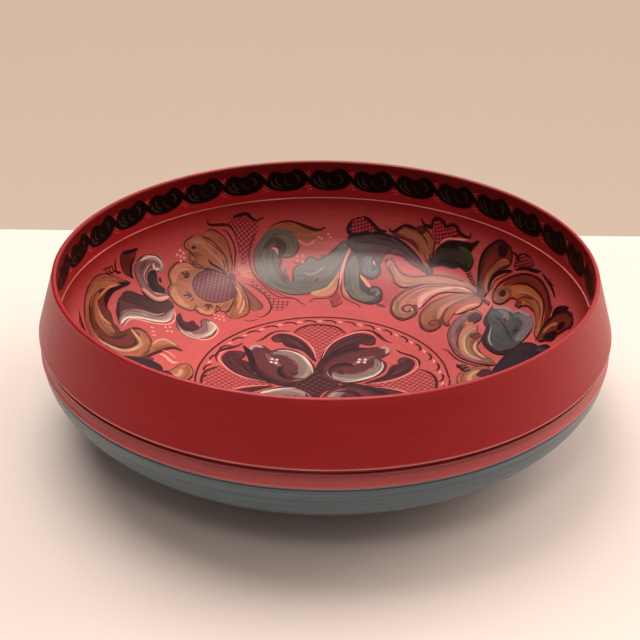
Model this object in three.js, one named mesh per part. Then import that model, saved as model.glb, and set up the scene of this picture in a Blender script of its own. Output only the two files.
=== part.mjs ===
import * as THREE from 'three';

// A turned wooden bowl: a round body, and a tall rim ring that leans inwards and is glued
// over a tongue on the body's mouth. Both are turned about the Z axis, sizes in millimetres.

// Driving sizes of the whole
const widestRadius = 150;
const arrisHeight = 60;
const stepsRound = 96;

// Rim ring
const rimRise = 30;
const rimLean = 8.75;
const lipThickness = 3;
const arrisFlat = 0.6;
const arrisBevel = 0.3;
const overhang = 1.7;
const innerLedge = 0.6;
const innerBevel = 0.3;

// Rebated joint between the ring and the body
const shoulderWidth = 4.3;
const tongueThickness = 5;
const tongueRise = 5.7;
const glueGap = 0.3;
const tongueEdgeRadius = 0.4;

// Moulding under the overhang, from the top down
const neckRise = 2;
const beadRise = 1.9;
const beadReach = 0.8;
const quirkRise = 0.5;
const coveRise = 4.2;
const coveReach = 1.5;
const bandEdgeRise = 1.9;
const bandEdgeBevel = 0.3;
const scribeWidth = 0.7;
const scribeDepth = 0.5;

// Underside and foot
const footRadius = 52;
const footBevel = 1;
const footRingWidth = 7.5;
const recessDepth = 1.5;
const recessSlope = 1;
const undersideSteepness = 0.75;
const undersideDraw = 2.7;
const undersideFlatness = 0.285;
const undersideLift = 3;

// Inside of the body
const floorThickness = 10.5;
const medallionRadius = 70;
const floorDish = 3.7;
const wallSteepness = 0.69;
const wallDraw = 0.8;
const wallFlatness = 0.7;

// Sizes that follow
const undersideOfRing = arrisHeight - arrisFlat;
const neckRadius = widestRadius - overhang;
const tongueRadius = neckRadius - shoulderWidth;
const mouthRadius = tongueRadius - tongueThickness;
const tongueTop = undersideOfRing + tongueRise;
const rebateRadius = tongueRadius + glueGap;
const rebateTop = tongueTop + glueGap;
const rimTop = arrisHeight + rimRise;
const lipOuterRadius = widestRadius - rimLean;
const lipRound = lipThickness / 2;
const lipMiddleRadius = lipOuterRadius - lipRound;
const ringInnerRadius = mouthRadius + innerLedge;
const floorCentre = recessDepth + floorThickness;
const medallionHeight = floorCentre + floorDish;

// Outline points are pairs of radius and height
function point(radius, height) {
  return new THREE.Vector2(radius, height);
}

function bend(start, startHandle, endHandle, end, steps) {
  return new THREE.CubicBezierCurve(start, startHandle, endHandle, end).getPoints(steps);
}

function arc(centre, radius, fromDegrees, toDegrees, steps) {
  const points = [];
  for (let i = 0; i <= steps; i += 1) {
    const angle = THREE.MathUtils.degToRad(fromDegrees + ((toDegrees - fromDegrees) * i) / steps);
    points.push(point(centre.x + radius * Math.cos(angle), centre.y + radius * Math.sin(angle)));
  }
  return points;
}

function turned(name, outline, material) {
  const geometry = new THREE.LatheGeometry(outline, stepsRound);
  geometry.rotateX(Math.PI / 2);
  const mesh = new THREE.Mesh(geometry, material);
  mesh.name = name;
  return mesh;
}

// Rim ring: a cone outside, almost upright inside, rounded at the lip, rebated underneath
function rimRingOutline() {
  const underside = [
    point(rebateRadius, undersideOfRing),
    point(widestRadius - arrisBevel, undersideOfRing),
  ];
  const arris = [
    point(widestRadius, undersideOfRing + arrisBevel),
    point(widestRadius, arrisHeight),
  ];
  const lip = arc(point(lipMiddleRadius, rimTop - lipRound), lipRound, 0, 180, 6);
  const innerFoot = [
    point(ringInnerRadius, rebateTop + innerBevel),
    point(ringInnerRadius + innerBevel, rebateTop),
  ];
  const rebate = [
    point(rebateRadius, rebateTop),
    point(rebateRadius, undersideOfRing),
  ];
  return [...underside, ...arris, ...lip, ...innerFoot, ...rebate];
}

// Foot ring round a shallow recess, as left by the turner
function footOutline() {
  const recessRadius = footRadius - footBevel - footRingWidth;
  return [
    point(0, recessDepth),
    point(recessRadius - recessSlope, recessDepth),
    point(recessRadius, 0),
    point(footRadius - footBevel, 0),
  ];
}

// Underside: shallow out of the foot, then steep up to the scribed line
function undersideOutline(topRadius, topHeight) {
  const drop = topHeight - footBevel;
  const spread = topRadius - footRadius;
  return bend(
    point(footRadius, footBevel),
    point(footRadius + spread * undersideFlatness, footBevel + undersideLift),
    point(topRadius - undersideDraw, topHeight - drop * undersideSteepness),
    point(topRadius, topHeight),
    13,
  );
}

// Cove: upright at its top and flaring out to the band's edge. Built from the top down
function coveOutline(topHeight) {
  const halfTurn = Math.atan(coveReach / coveRise);
  const sweep = THREE.MathUtils.radToDeg(2 * halfTurn);
  const radius = coveRise / Math.sin(2 * halfTurn);
  return arc(point(neckRadius + radius, topHeight), radius, 180, 180 + sweep, 4);
}

// Bead: a low half round that stands out of the neck. Built from the top down
function beadOutline(topHeight) {
  const halfRise = beadRise / 2;
  const points = [];
  for (let i = 0; i <= 4; i += 1) {
    const angle = THREE.MathUtils.degToRad(90 - 45 * i);
    points.push(
      point(neckRadius + beadReach * Math.cos(angle), topHeight - halfRise + halfRise * Math.sin(angle)),
    );
  }
  return points;
}

// Scribed line under the band, with the band's edge over it, from the bottom up
function bandEdgeOutline(edgeHeight) {
  const edgeRadius = neckRadius + coveReach;
  const scribeTop = edgeHeight - bandEdgeRise;
  return [
    point(edgeRadius - bandEdgeBevel - scribeDepth, scribeTop - scribeWidth / 2),
    point(edgeRadius - bandEdgeBevel, scribeTop),
    point(edgeRadius, scribeTop + bandEdgeBevel),
  ];
}

// Inside: steep wall that turns into the shallow dish of the floor, from the mouth to the middle
function insideOutline() {
  const drop = tongueTop - tongueEdgeRadius - medallionHeight;
  const spread = mouthRadius - medallionRadius;
  const floorSlope = (2 * floorDish) / medallionRadius;
  const wall = bend(
    point(mouthRadius, tongueTop - tongueEdgeRadius),
    point(mouthRadius - wallDraw, tongueTop - tongueEdgeRadius - drop * wallSteepness),
    point(medallionRadius + spread * wallFlatness, medallionHeight + spread * wallFlatness * floorSlope),
    point(medallionRadius, medallionHeight),
    14,
  );
  const floor = [];
  const floorSteps = 4;
  for (let i = floorSteps - 1; i >= 0; i -= 1) {
    const share = i / floorSteps;
    floor.push(point(medallionRadius * share, floorCentre + floorDish * share * share));
  }
  return [...wall, ...floor];
}

function bowlBodyOutline() {
  const beadTop = undersideOfRing - neckRise;
  const coveTop = beadTop - beadRise - quirkRise;
  const edgeHeight = coveTop - coveRise;
  const scribeBottom = edgeHeight - bandEdgeRise - scribeWidth;
  const undersideRadius = neckRadius + coveReach - bandEdgeBevel;
  const tongueEdge = arc(
    point(mouthRadius + tongueEdgeRadius, tongueTop - tongueEdgeRadius),
    tongueEdgeRadius, 90, 135, 1,
  );
  return [
    ...footOutline(),
    ...undersideOutline(undersideRadius, scribeBottom),
    ...bandEdgeOutline(edgeHeight),
    ...coveOutline(coveTop).reverse(),
    ...beadOutline(beadTop).reverse(),
    point(neckRadius, undersideOfRing),
    point(tongueRadius, undersideOfRing),
    point(tongueRadius, tongueTop),
    ...tongueEdge,
    ...insideOutline(),
  ];
}

const rimPaint = new THREE.MeshStandardMaterial({ color: 0x8a2624, roughness: 0.48, metalness: 0 });
const bodyPaint = new THREE.MeshStandardMaterial({ color: 0x5f6468, roughness: 0.55, metalness: 0 });

const bowl = new THREE.Group();
bowl.add(turned('rim_ring', rimRingOutline(), rimPaint));
bowl.add(turned('bowl_body', bowlBodyOutline(), bodyPaint));

export default bowl;
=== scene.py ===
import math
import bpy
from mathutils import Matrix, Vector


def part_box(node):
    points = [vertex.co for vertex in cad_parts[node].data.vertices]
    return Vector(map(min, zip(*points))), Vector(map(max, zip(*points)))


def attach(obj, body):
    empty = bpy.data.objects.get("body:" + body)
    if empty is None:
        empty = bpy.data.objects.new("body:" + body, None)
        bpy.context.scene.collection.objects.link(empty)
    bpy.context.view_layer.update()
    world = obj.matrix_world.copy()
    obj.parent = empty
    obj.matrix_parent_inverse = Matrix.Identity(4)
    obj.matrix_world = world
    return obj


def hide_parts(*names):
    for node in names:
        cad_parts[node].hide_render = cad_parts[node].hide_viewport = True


bl_info = {
    "name": "Painted Wooden Bowl",
    "version": (1, 0, 0),
    "blender": (4, 5, 0),
    "location": "3D View > Sidebar > Bowl",
    "description": "A turned wooden bowl with a leaning rim ring and folk-painted ornament inside",
    "category": "Object",
}

import bpy
import numpy as np
from bpy.props import FloatProperty, FloatVectorProperty, IntProperty, PointerProperty
from mathutils import Matrix, Vector, geometry

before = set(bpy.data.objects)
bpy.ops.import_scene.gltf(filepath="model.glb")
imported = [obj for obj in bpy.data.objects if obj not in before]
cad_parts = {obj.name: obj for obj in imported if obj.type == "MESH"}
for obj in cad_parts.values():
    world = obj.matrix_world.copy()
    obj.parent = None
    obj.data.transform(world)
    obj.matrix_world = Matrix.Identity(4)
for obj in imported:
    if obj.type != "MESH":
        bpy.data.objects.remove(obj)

# Sizes are in millimetres in this script, and meshes in metres
MM = 0.001

# Outer sizes, taken from the frame
RING_LOW, RING_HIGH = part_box("rim_ring")
WIDEST_RADIUS = RING_HIGH.x / MM
RING_UNDERSIDE = RING_LOW.z / MM
RIM_TOP = RING_HIGH.z / MM
TONGUE_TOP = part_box("bowl_body")[1].z / MM

# Rim ring, as in the part
RIM_LEAN = 8.75
LIP_THICKNESS = 3.0
ARRIS_FLAT = 0.6
ARRIS_BEVEL = 0.3
OVERHANG = 1.7
INNER_LEDGE = 0.6
INNER_BEVEL = 0.3

# Rebated joint, as in the part
SHOULDER_WIDTH = 4.3
TONGUE_THICKNESS = 5.0
GLUE_GAP = 0.3
TONGUE_EDGE = 0.4

# Moulding under the overhang, as in the part
NECK_RISE = 2.0
BEAD_RISE = 1.9
BEAD_REACH = 0.8
QUIRK_RISE = 0.5
COVE_RISE = 4.2
COVE_REACH = 1.5
BAND_EDGE_RISE = 1.9
BAND_EDGE_BEVEL = 0.3
SCRIBE_WIDTH = 0.7
SCRIBE_DEPTH = 0.5

# Underside and foot, as in the part
FOOT_RADIUS = 52.0
FOOT_BEVEL = 1.0
FOOT_RING_WIDTH = 7.5
RECESS_DEPTH = 1.5
RECESS_SLOPE = 1.0
UNDERSIDE_STEEPNESS = 0.75
UNDERSIDE_DRAW = 2.7
UNDERSIDE_FLATNESS = 0.285
UNDERSIDE_LIFT = 3.0

# Inside of the body, as in the part
FLOOR_CENTRE = 12.0
MEDALLION_RADIUS = 70.0
FLOOR_DISH = 3.7
WALL_STEEPNESS = 0.69
WALL_DRAW = 0.8
WALL_FLATNESS = 0.7

# Sizes that follow
NECK_RADIUS = WIDEST_RADIUS - OVERHANG
TONGUE_RADIUS = NECK_RADIUS - SHOULDER_WIDTH
MOUTH_RADIUS = TONGUE_RADIUS - TONGUE_THICKNESS
RING_INNER_RADIUS = MOUTH_RADIUS + INNER_LEDGE
REBATE_RADIUS = TONGUE_RADIUS + GLUE_GAP
REBATE_TOP = TONGUE_TOP + GLUE_GAP
ARRIS_HEIGHT = RING_UNDERSIDE + ARRIS_FLAT
LIP_ROUND = LIP_THICKNESS / 2
LIP_MIDDLE_RADIUS = WIDEST_RADIUS - RIM_LEAN - LIP_ROUND
BEAD_TOP = RING_UNDERSIDE - NECK_RISE
COVE_TOP = BEAD_TOP - BEAD_RISE - QUIRK_RISE
BAND_EDGE = COVE_TOP - COVE_RISE
BAND_RADIUS = NECK_RADIUS + COVE_REACH
SCRIBE_TOP = BAND_EDGE - BAND_EDGE_RISE
SCRIBE_BOTTOM = SCRIBE_TOP - SCRIBE_WIDTH

# Red and blue-grey paint
PAINT_ROUGHNESS = 0.36
BRUSH_RELIEF = 0.05
VARNISH = 0.3
VARNISH_ROUGHNESS = 0.26
EDGE_WANDER = 1.6
EDGE_BLUR = 0.5
# Painted shade: the stretch below the mouth, in millimetres along the wood, over which the inside fades from
# the dark mouth red to its coral
MOUTH_SHADE_FADE = (-4.0, 20.0)
SHARP_EDGE = math.radians(32)

# Coats of ornament paint, and how far apart the rows and columns of a mark stand
FIRST_LIFT = 0.03
COAT_THICKNESS = 0.008
LET_IN = 0.8
WALL_ROWS = 1.5
FLOOR_ROWS = 2.2
COLUMNS = 3.2
CURVE_STEPS = 16
PATCH_EDGE = 1.2
PATCH_INSET = 0.6
SHORTEST_LINE = 0.8
CHART_HALF = 180
SHEET_GAP = 0.4
BRISTLE_SHIFT = 7.3

# Dabs of the dotting brush, as shares of their width, and the largest one
DAB_SIDES = 14
DAB_FOOT = 0.5
DAB_TOP = 0.43
LARGEST_DAB = 3.3

# Medallion and the borders that repeat round it and round the ring
MEDALLION_MIDDLE = (-1, 1)
MEDALLION_HEART = (-3, -1.5)
MEDALLION_RING = 70.3
RUNNING_MARKS = 34
RUNNING_RADIUS = 66.0
RUNNING_START = 0.1
CHAIN_LINKS = 32
CHAIN_HEIGHT = 77.4
CHAIN_START = math.radians(94.6)

# Stage
FLOOR_REACH = 3000
LAMP_AIM = (0, 0, 0.05)
LAMP_COLOUR = (1.0, 0.95, 0.88)
SENSOR_WIDTH = 36
FOCAL_PIXELS = 1230
PICTURE_PIXELS = 640


def shown(red, green, blue):
    """A colour given as it shows on a screen, from 0 to 255, turned into the shader's own numbers."""
    return tuple(((value / 255 + 0.055) / 1.055) ** 2.4 for value in (red, green, blue))


def swatch(name, note, value):
    """A colour for the panel, in the shader's own numbers."""
    return FloatVectorProperty(name=name, description=note, default=value, subtype="COLOR")


def setting(name, note, value, **kind):
    """A number for the panel, with its unit or subtype."""
    return FloatProperty(name=name, description=note, default=value, **kind)


def paint(name, note, red, green, blue):
    """A colour of the palette, given as it shows."""
    return swatch(name, note, shown(red, green, blue))


class BowlSizes(bpy.types.PropertyGroup):
    steps_round: IntProperty(
        name="Steps round",
        description="Flats round the turned pieces",
        default=384,
        min=96,
        max=512,
    )
    paint_edge: setting(
        "Paint edge",
        "Height at which the band's red meets the blue-grey underside",
        49.7 * MM,
        unit="LENGTH",
    )


class BowlColours(bpy.types.PropertyGroup):
    rim_red: swatch("Rim red", "Outside of the rim ring", (0.345, 0.009, 0.0125))
    # Painted highlight along the ring's arris, patchy like rubbed paint
    arris_highlight_and_wear: swatch("Worn arris", "Where the ring's sharp edge has rubbed", shown(214, 122, 118))
    # Painted shade: the ring's leaning inside gets a darker red than its outside
    ring_inside_shaded_red: swatch("Ring inside red", "Behind the chain border", (0.13, 0.0001, 0.0002))
    # Pale tones of the paint bead on the joint, lighter than the red round it as a painted highlight of the
    # ledge
    joint_highlight_dark: swatch("Joint line's shade", "Edge of the body inside", shown(176, 84, 76))
    joint_highlight_light: swatch("Joint line's light", "Edge of the body inside", shown(206, 118, 106))
    # Painted shade at the top of the wall under the ring, also used for the band's painted shade
    shaded_mouth_red: swatch("Mouth red", "Top of the wall, under the ring", (0.23, 0.0005, 0.0005))
    inside_red: swatch("Inside red", "Ground of the painted inside", (0.55, 0.078, 0.076))
    # Paler and pinker than the rim red: partly the band's own red, partly a painted reflection of the light
    # in front
    band_red_and_sheen: swatch("Band red", "Moulded band under the ring", (0.5, 0.09, 0.092))
    # Painted shade in the fine groove under the bead
    quirk_shade: swatch("Quirk's dark", "Fine groove under the bead", (0.05, 0.001, 0.002))
    underside_blue: swatch("Underside blue", "Outside under the band", (0.1, 0.14, 0.16))
    wood_dark: swatch("Wood's shade", "Bare wood of the foot", (0.32, 0.19, 0.1))
    wood_light: swatch("Wood's light", "Bare wood of the foot", (0.5, 0.33, 0.19))


class OrnamentColours(bpy.types.PropertyGroup):
    ochre: paint("Ochre", "Scrolls, flower and leaves", 172, 100, 70)
    dark_ochre: paint("Dark ochre", "Shade of the ochre leaves", 102, 38, 20)
    rust: paint("Rust", "Tall plume and small leaf", 178, 82, 42)
    russet: paint("Russet", "Light of the brown plumes", 126, 42, 32)
    umber: paint("Umber", "Shade of the brown leaves", 106, 40, 28)
    tan: paint("Tan", "Shade of the plumes", 132, 72, 50)
    rosy_tan: paint("Rosy tan", "Light of the plumes", 184, 112, 92)
    olive_tan: paint("Olive tan", "Third plume", 154, 90, 60)
    olive: paint("Olive", "Glaze on the grey scroll", 122, 106, 74)
    cream: paint("Cream", "Fine lights", 200, 154, 128)
    peach: paint("Peach", "Tulip, dots and lights", 206, 132, 100)
    pink: paint("Pink", "Fine lines and dots on the red", 236, 158, 144)
    coral_light: paint("Light coral", "Fourth plume", 172, 80, 58)
    white: paint("White", "Lights of the buds", 234, 214, 200)
    grey_white: paint("Grey white", "Edges of the buds and crescents", 188, 158, 146)
    pale_grey: paint("Pale grey", "Lights of the grey scrolls", 150, 128, 120)
    sage: paint("Sage", "Light of the grey-green scroll", 108, 100, 90)
    verdigris: paint("Verdigris", "Cool light of the grey scrolls", 104, 100, 98)
    taupe: paint("Taupe", "Shade of the grey scrolls", 92, 76, 74)
    slate: paint("Slate", "Grey-blue flower", 62, 60, 62)
    dark_slate: paint("Dark slate", "Shade of the grey-blue flower", 46, 46, 52)
    mauve_grey: paint("Mauve grey", "Warm light of the grey scrolls", 116, 102, 104)
    mauve: paint("Mauve", "Crescents", 136, 90, 92)
    plum: paint("Plum", "Light of the dark buds", 92, 38, 44)
    aubergine: paint("Aubergine", "Dark buds and leaves", 72, 22, 30)
    eye: paint("Flower's eye", "Ground of its net", 138, 66, 74)
    eye_dark: paint("Flower's net", "Lines over its eye", 96, 30, 42)
    charcoal: paint("Charcoal", "Dark arch", 84, 60, 64)
    navy: paint("Dark blue", "Dark flower", 38, 20, 30)
    leaf_green: paint("Leaf green", "Dark leaf's light", 52, 70, 36)
    dark_green: paint("Dark green", "Dark leaf and chain", 16, 8, 6)
    bronze: paint("Bronze", "Lights of the chain and the dark leaf", 60, 46, 34)
    black: paint("Black", "Thick outlines", 34, 4, 8)
    liner: paint("Liner", "Fine dark outlines", 64, 12, 16)
    rosewood: paint("Rosewood", "Fine red-brown outlines", 100, 32, 32)
    hatch: paint("Net", "Crossed lines on the red", 104, 26, 28)
    net_pink: paint("Pink net", "Crossed lines beside the arch", 166, 54, 66)
    bright_peach: paint("Bright peach", "Dashes and tufts", 238, 168, 140)
    chain_dot: paint("Chain dot", "Dots beside the chain", 240, 120, 105)
    deep_red: paint("Deep red", "Ground of the dark caps", 196, 56, 68)


class StageSettings(bpy.types.PropertyGroup):
    floor_colour: swatch("Floor colour", "Plain pale floor", (0.82, 0.69, 0.645))
    backdrop_colour: swatch("Backdrop colour", "Plain wall behind the bowl", shown(222, 194, 171))
    floor_back: setting("Floor back edge", "How far behind the axis the floor ends", 0.23, unit="LENGTH")
    high_lamp: setting("High lamp power", "Lamp behind on the left, high up", 36, unit="POWER")
    side_lamp: setting("Side lamp power", "Lamp on the right, lower", 22, unit="POWER")
    front_lamp: setting("Front lamp power", "Small lamp above the camera", 3, unit="POWER")
    gloss_lamp: setting("Gloss lamp power", "Broad light that only the gloss shows", 50, unit="POWER")
    room_level: setting("Room level", "Light of the wall behind on the right", 1.02)
    front_level: setting("Front level", "Light of the room on the camera's side", 0.29)
    ceiling_level: setting("Ceiling level", "Light of the ceiling above the camera", 0.5)
    camera_back: setting("Camera distance", "How far in front of the axis", 0.582416, unit="LENGTH")
    camera_height: setting("Camera height", "Above the surface the bowl stands on", 0.365130, unit="LENGTH")
    camera_pitch: setting("Camera pitch", "Downward tilt", 0.4929805, subtype="ANGLE")
    camera_yaw: setting("Camera yaw", "Turn to the right", -0.0047155, subtype="ANGLE")
    camera_roll: setting("Camera roll", "Turn about the line of sight", 0.0093366, subtype="ANGLE")


# Outlines, as rows of radius and height in millimetres


def bend(start, start_handle, end_handle, end, steps):
    """Points of a cubic curve."""
    share = np.linspace(0, 1, steps + 1)[:, None]
    points = [np.array(point) for point in (start, start_handle, end_handle, end)]
    weights = ((1 - share) ** 3, 3 * (1 - share) ** 2 * share, 3 * (1 - share) * share**2, share**3)
    return sum(weight * point for weight, point in zip(weights, points))


def arc(centre, radius, from_degrees, to_degrees, steps):
    """Points of a round stretch."""
    angle = np.radians(np.linspace(from_degrees, to_degrees, steps + 1))
    return np.stack([centre[0] + radius * np.cos(angle), centre[1] + radius * np.sin(angle)], -1)


def flat_run(start, end, steps):
    """Points of a straight stretch, without its last one."""
    share = np.linspace(0, 1, steps, endpoint=False)[:, None]
    return np.array(start) * (1 - share) + np.array(end) * share


def ring_outline():
    """The ring's section: underside, sharp arris, leaning outside, round lip, inside and rebate."""
    underside = flat_run((REBATE_RADIUS, RING_UNDERSIDE), (WIDEST_RADIUS - ARRIS_BEVEL, RING_UNDERSIDE), 3)
    bevel_middle = (WIDEST_RADIUS - ARRIS_BEVEL, RING_UNDERSIDE + ARRIS_BEVEL)
    bevel = arc(bevel_middle, ARRIS_BEVEL, -90, 0, 3)
    lip_middle = (LIP_MIDDLE_RADIUS, RIM_TOP - LIP_ROUND)
    outside = flat_run((WIDEST_RADIUS, ARRIS_HEIGHT), (LIP_MIDDLE_RADIUS + LIP_ROUND, lip_middle[1]), 24)
    lip = arc(lip_middle, LIP_ROUND, 0, 180, 16)
    foot_high = (RING_INNER_RADIUS, REBATE_TOP + INNER_BEVEL)
    foot_low = (RING_INNER_RADIUS + INNER_BEVEL, REBATE_TOP)
    inside = flat_run(lip[-1], foot_high, 22)[1:]
    joint = [foot_high, foot_low, (REBATE_RADIUS, REBATE_TOP)]
    return np.vstack([underside, bevel, outside, lip, inside, joint])


def foot_outline():
    """The flat ring the bowl stands on, round its shallow recess."""
    recess = FOOT_RADIUS - FOOT_BEVEL - FOOT_RING_WIDTH
    return np.vstack(
        [
            flat_run((0, RECESS_DEPTH), (recess - RECESS_SLOPE, RECESS_DEPTH), 10),
            flat_run((recess - RECESS_SLOPE, RECESS_DEPTH), (recess, 0), 2),
            flat_run((recess, 0), (FOOT_RADIUS - FOOT_BEVEL, 0), 4),
        ]
    )


def underside_outline():
    """Shallow out of the foot, then steep up to the scribed line."""
    top = (BAND_RADIUS - BAND_EDGE_BEVEL, SCRIBE_BOTTOM)
    drop = SCRIBE_BOTTOM - FOOT_BEVEL
    spread = top[0] - FOOT_RADIUS
    foot = arc((FOOT_RADIUS - FOOT_BEVEL, FOOT_BEVEL), FOOT_BEVEL, -90, 0, 3)[:-1]
    curve = bend(
        (FOOT_RADIUS, FOOT_BEVEL),
        (FOOT_RADIUS + spread * UNDERSIDE_FLATNESS, FOOT_BEVEL + UNDERSIDE_LIFT),
        (top[0] - UNDERSIDE_DRAW, SCRIBE_BOTTOM - drop * UNDERSIDE_STEEPNESS),
        top,
        48,
    )
    return np.vstack([foot, curve])


def band_outline():
    """Scribed line, band edge, cove, bead and neck, from the bottom up."""
    scribe = [
        (BAND_RADIUS - BAND_EDGE_BEVEL - SCRIBE_DEPTH, SCRIBE_TOP - SCRIBE_WIDTH / 2),
        (BAND_RADIUS - BAND_EDGE_BEVEL, SCRIBE_TOP),
        (BAND_RADIUS, SCRIBE_TOP + BAND_EDGE_BEVEL),
    ]
    turn = 2 * math.atan(COVE_REACH / COVE_RISE)
    cove_radius = COVE_RISE / math.sin(turn)
    cove_middle = (NECK_RADIUS + cove_radius, COVE_TOP)
    cove = arc(cove_middle, cove_radius, 180 + math.degrees(turn), 180, 12)
    quirk = [(NECK_RADIUS, BEAD_TOP - BEAD_RISE)]
    half_bead = BEAD_RISE / 2
    bead = arc((0, 0), 1, -80, 90, 10) * (BEAD_REACH, half_bead) + (NECK_RADIUS, BEAD_TOP - half_bead)
    return np.vstack([scribe, cove, quirk, bead])


def mouth_outline():
    """The flat shoulder the ring stands on, and the tongue inside its rebate."""
    return np.array(
        [
            (NECK_RADIUS, RING_UNDERSIDE),
            (TONGUE_RADIUS, RING_UNDERSIDE),
            (TONGUE_RADIUS, TONGUE_TOP),
            (MOUTH_RADIUS + TONGUE_EDGE, TONGUE_TOP),
            (MOUTH_RADIUS + TONGUE_EDGE * 0.3, TONGUE_TOP - TONGUE_EDGE * 0.3),
        ]
    )


def inside_outline():
    """From the mouth down the wall and over the dished floor to the middle."""
    rim = TONGUE_TOP - TONGUE_EDGE
    edge = FLOOR_CENTRE + FLOOR_DISH
    spread = MOUTH_RADIUS - MEDALLION_RADIUS
    slope = 2 * FLOOR_DISH / MEDALLION_RADIUS
    wall = bend(
        (MOUTH_RADIUS, rim),
        (MOUTH_RADIUS - WALL_DRAW, rim - (rim - edge) * WALL_STEEPNESS),
        (MEDALLION_RADIUS + spread * WALL_FLATNESS, edge + spread * WALL_FLATNESS * slope),
        (MEDALLION_RADIUS, edge),
        72,
    )
    radius = np.linspace(MEDALLION_RADIUS, 0, 25)[1:]
    floor = np.stack([radius, FLOOR_CENTRE + FLOOR_DISH * (radius / MEDALLION_RADIUS) ** 2], -1)
    return np.vstack([wall, floor])


def along(points):
    """Distance along a line at each of its points."""
    return np.concatenate([[0], np.cumsum(np.linalg.norm(np.diff(points[:, :2], axis=0), axis=1))])


# Meshes


def mesh_object(name, points, faces, material):
    """A new object from points in millimetres."""
    mesh = bpy.data.meshes.new(name)
    mesh.from_pydata((np.asarray(points) * MM).tolist(), [], faces)
    mesh.materials.append(material)
    item = bpy.data.objects.new(name, mesh)
    bpy.context.scene.collection.objects.link(item)
    return item


def store(mesh, name, kind, values):
    """Writes one value for each point of a mesh under a name that a material reads."""
    field = {"FLOAT": "value", "FLOAT_VECTOR": "vector", "FLOAT_COLOR": "color"}[kind]
    layer = mesh.attributes.new(name, kind, "POINT")
    layer.data.foreach_set(field, np.asarray(values, np.float32).ravel())


def turned(name, outline, steps, material, wear=0):
    """Turns an outline about the Z axis. The outline runs with the wood on its left hand."""
    table = np.column_stack([outline, along(outline), wear + np.zeros(len(outline))])
    on_axis = outline[0, 0] < 1e-6
    rows = table[1:-1] if on_axis else table[:-1]
    count = len(rows)
    angle = np.arange(steps) * (2 * math.pi / steps)
    cosine, sine = np.tile(np.cos(angle), count), np.tile(np.sin(angle), count)
    radius, height, far, worn = np.repeat(rows, steps, 0).T
    points = np.stack([radius * cosine, radius * sine, height], -1)
    turning = np.stack([WIDEST_RADIUS * cosine, WIDEST_RADIUS * sine, far], -1)
    faces = []
    for row in range(count - 1 if on_axis else count):
        here = row * steps
        above = (row + 1) % count * steps
        for step in range(steps):
            beside = (step + 1) % steps
            faces.append((here + step, here + beside, above + beside, above + step))
    if on_axis:
        for _, end_height, end_far, end_wear in table[[0, -1]]:
            points = np.vstack([points, [0, 0, end_height]])
            turning = np.vstack([turning, [0, 0, end_far]])
            worn = np.append(worn, end_wear)
        low, top_row = count * steps, (count - 1) * steps
        for step in range(steps):
            beside = (step + 1) % steps
            faces += [(low, beside, step), (low + 1, top_row + step, top_row + beside)]
    item = mesh_object(name, points, faces, material)
    store(item.data, "turning", "FLOAT_VECTOR", turning)
    store(item.data, "wear", "FLOAT", worn)
    item.data.shade_smooth()
    item.data.set_sharp_from_angle(angle=SHARP_EDGE)
    return item


# Node trees


def add(tree, kind, sockets=None, **settings):
    """Adds a node, sets its options, and fills its sockets with values or with other nodes' outputs."""
    node = tree.nodes.new(kind)
    for name, value in settings.items():
        setattr(node, name, value)
    for key, value in (sockets or {}).items():
        socket = node.inputs[key]
        if isinstance(value, bpy.types.NodeSocket):
            tree.links.new(value, socket)
        else:
            socket.default_value = value
    return node


def maths(tree, operation, *values, clamp=False):
    """The result of one sum on numbers or outputs."""
    sockets = dict(enumerate(values))
    return add(tree, "ShaderNodeMath", sockets, operation=operation, use_clamp=clamp).outputs[0]


def blended(tree, share, first, second, kind="MIX"):
    """One colour laid over another by a share from 0 to 1."""
    node = add(tree, "ShaderNodeMix", data_type="RGBA", blend_type=kind)
    for socket, value in ((node.inputs[0], share), (node.inputs[6], first), (node.inputs[7], second)):
        if isinstance(value, bpy.types.NodeSocket):
            tree.links.new(value, socket)
        elif isinstance(value, (int, float)):
            socket.default_value = value
        else:
            socket.default_value = (*value[:3], 1)
    return node.outputs[2]


def stretched(tree, vector, scale):
    """A vector with each of its three parts multiplied."""
    return add(tree, "ShaderNodeVectorMath", {0: vector, 1: scale}, operation="MULTIPLY").outputs[0]


def stored(tree, name, output="Vector"):
    """What a mesh stores under a name."""
    return add(tree, "ShaderNodeAttribute", attribute_name=name).outputs[output]


def parts_of(tree, vector):
    """The three parts of a vector."""
    return add(tree, "ShaderNodeSeparateXYZ", {0: vector}).outputs


def vector_of(tree, x=0.0, y=0.0, z=0.0):
    """A vector from its three parts."""
    return add(tree, "ShaderNodeCombineXYZ", {0: x, 1: y, 2: z}).outputs[0]


def scaled(colour, share):
    """A darker or lighter tone of a colour."""
    return tuple(value * share for value in colour)


def noise(tree, vector, scale, detail=3.0, roughness=0.5):
    """Smooth noise round 0.5."""
    sockets = {"Vector": vector, "Scale": scale, "Detail": detail, "Roughness": roughness}
    return add(tree, "ShaderNodeTexNoise", sockets).outputs["Fac"]


def ramp(tree, value, low, high, to_low=0.0, to_high=1.0):
    """A smooth step from one value to another."""
    sockets = {"Value": value, "From Min": low, "From Max": high, "To Min": to_low, "To Max": to_high}
    return add(tree, "ShaderNodeMapRange", sockets, interpolation_type="SMOOTHSTEP").outputs[0]


def new_material(name, specular, varnish=0.0):
    """An empty paint material under thin varnish, with its tree and its shader."""
    material = bpy.data.materials.new(name)
    material.use_nodes = True
    tree = material.node_tree
    tree.nodes.clear()
    sockets = {"Specular IOR Level": specular, "Coat Weight": varnish, "Coat Roughness": VARNISH_ROUGHNESS}
    shader = add(tree, "ShaderNodeBsdfPrincipled", sockets)
    add(tree, "ShaderNodeOutputMaterial", {"Surface": shader.outputs[0]})
    return material, tree, shader


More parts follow.
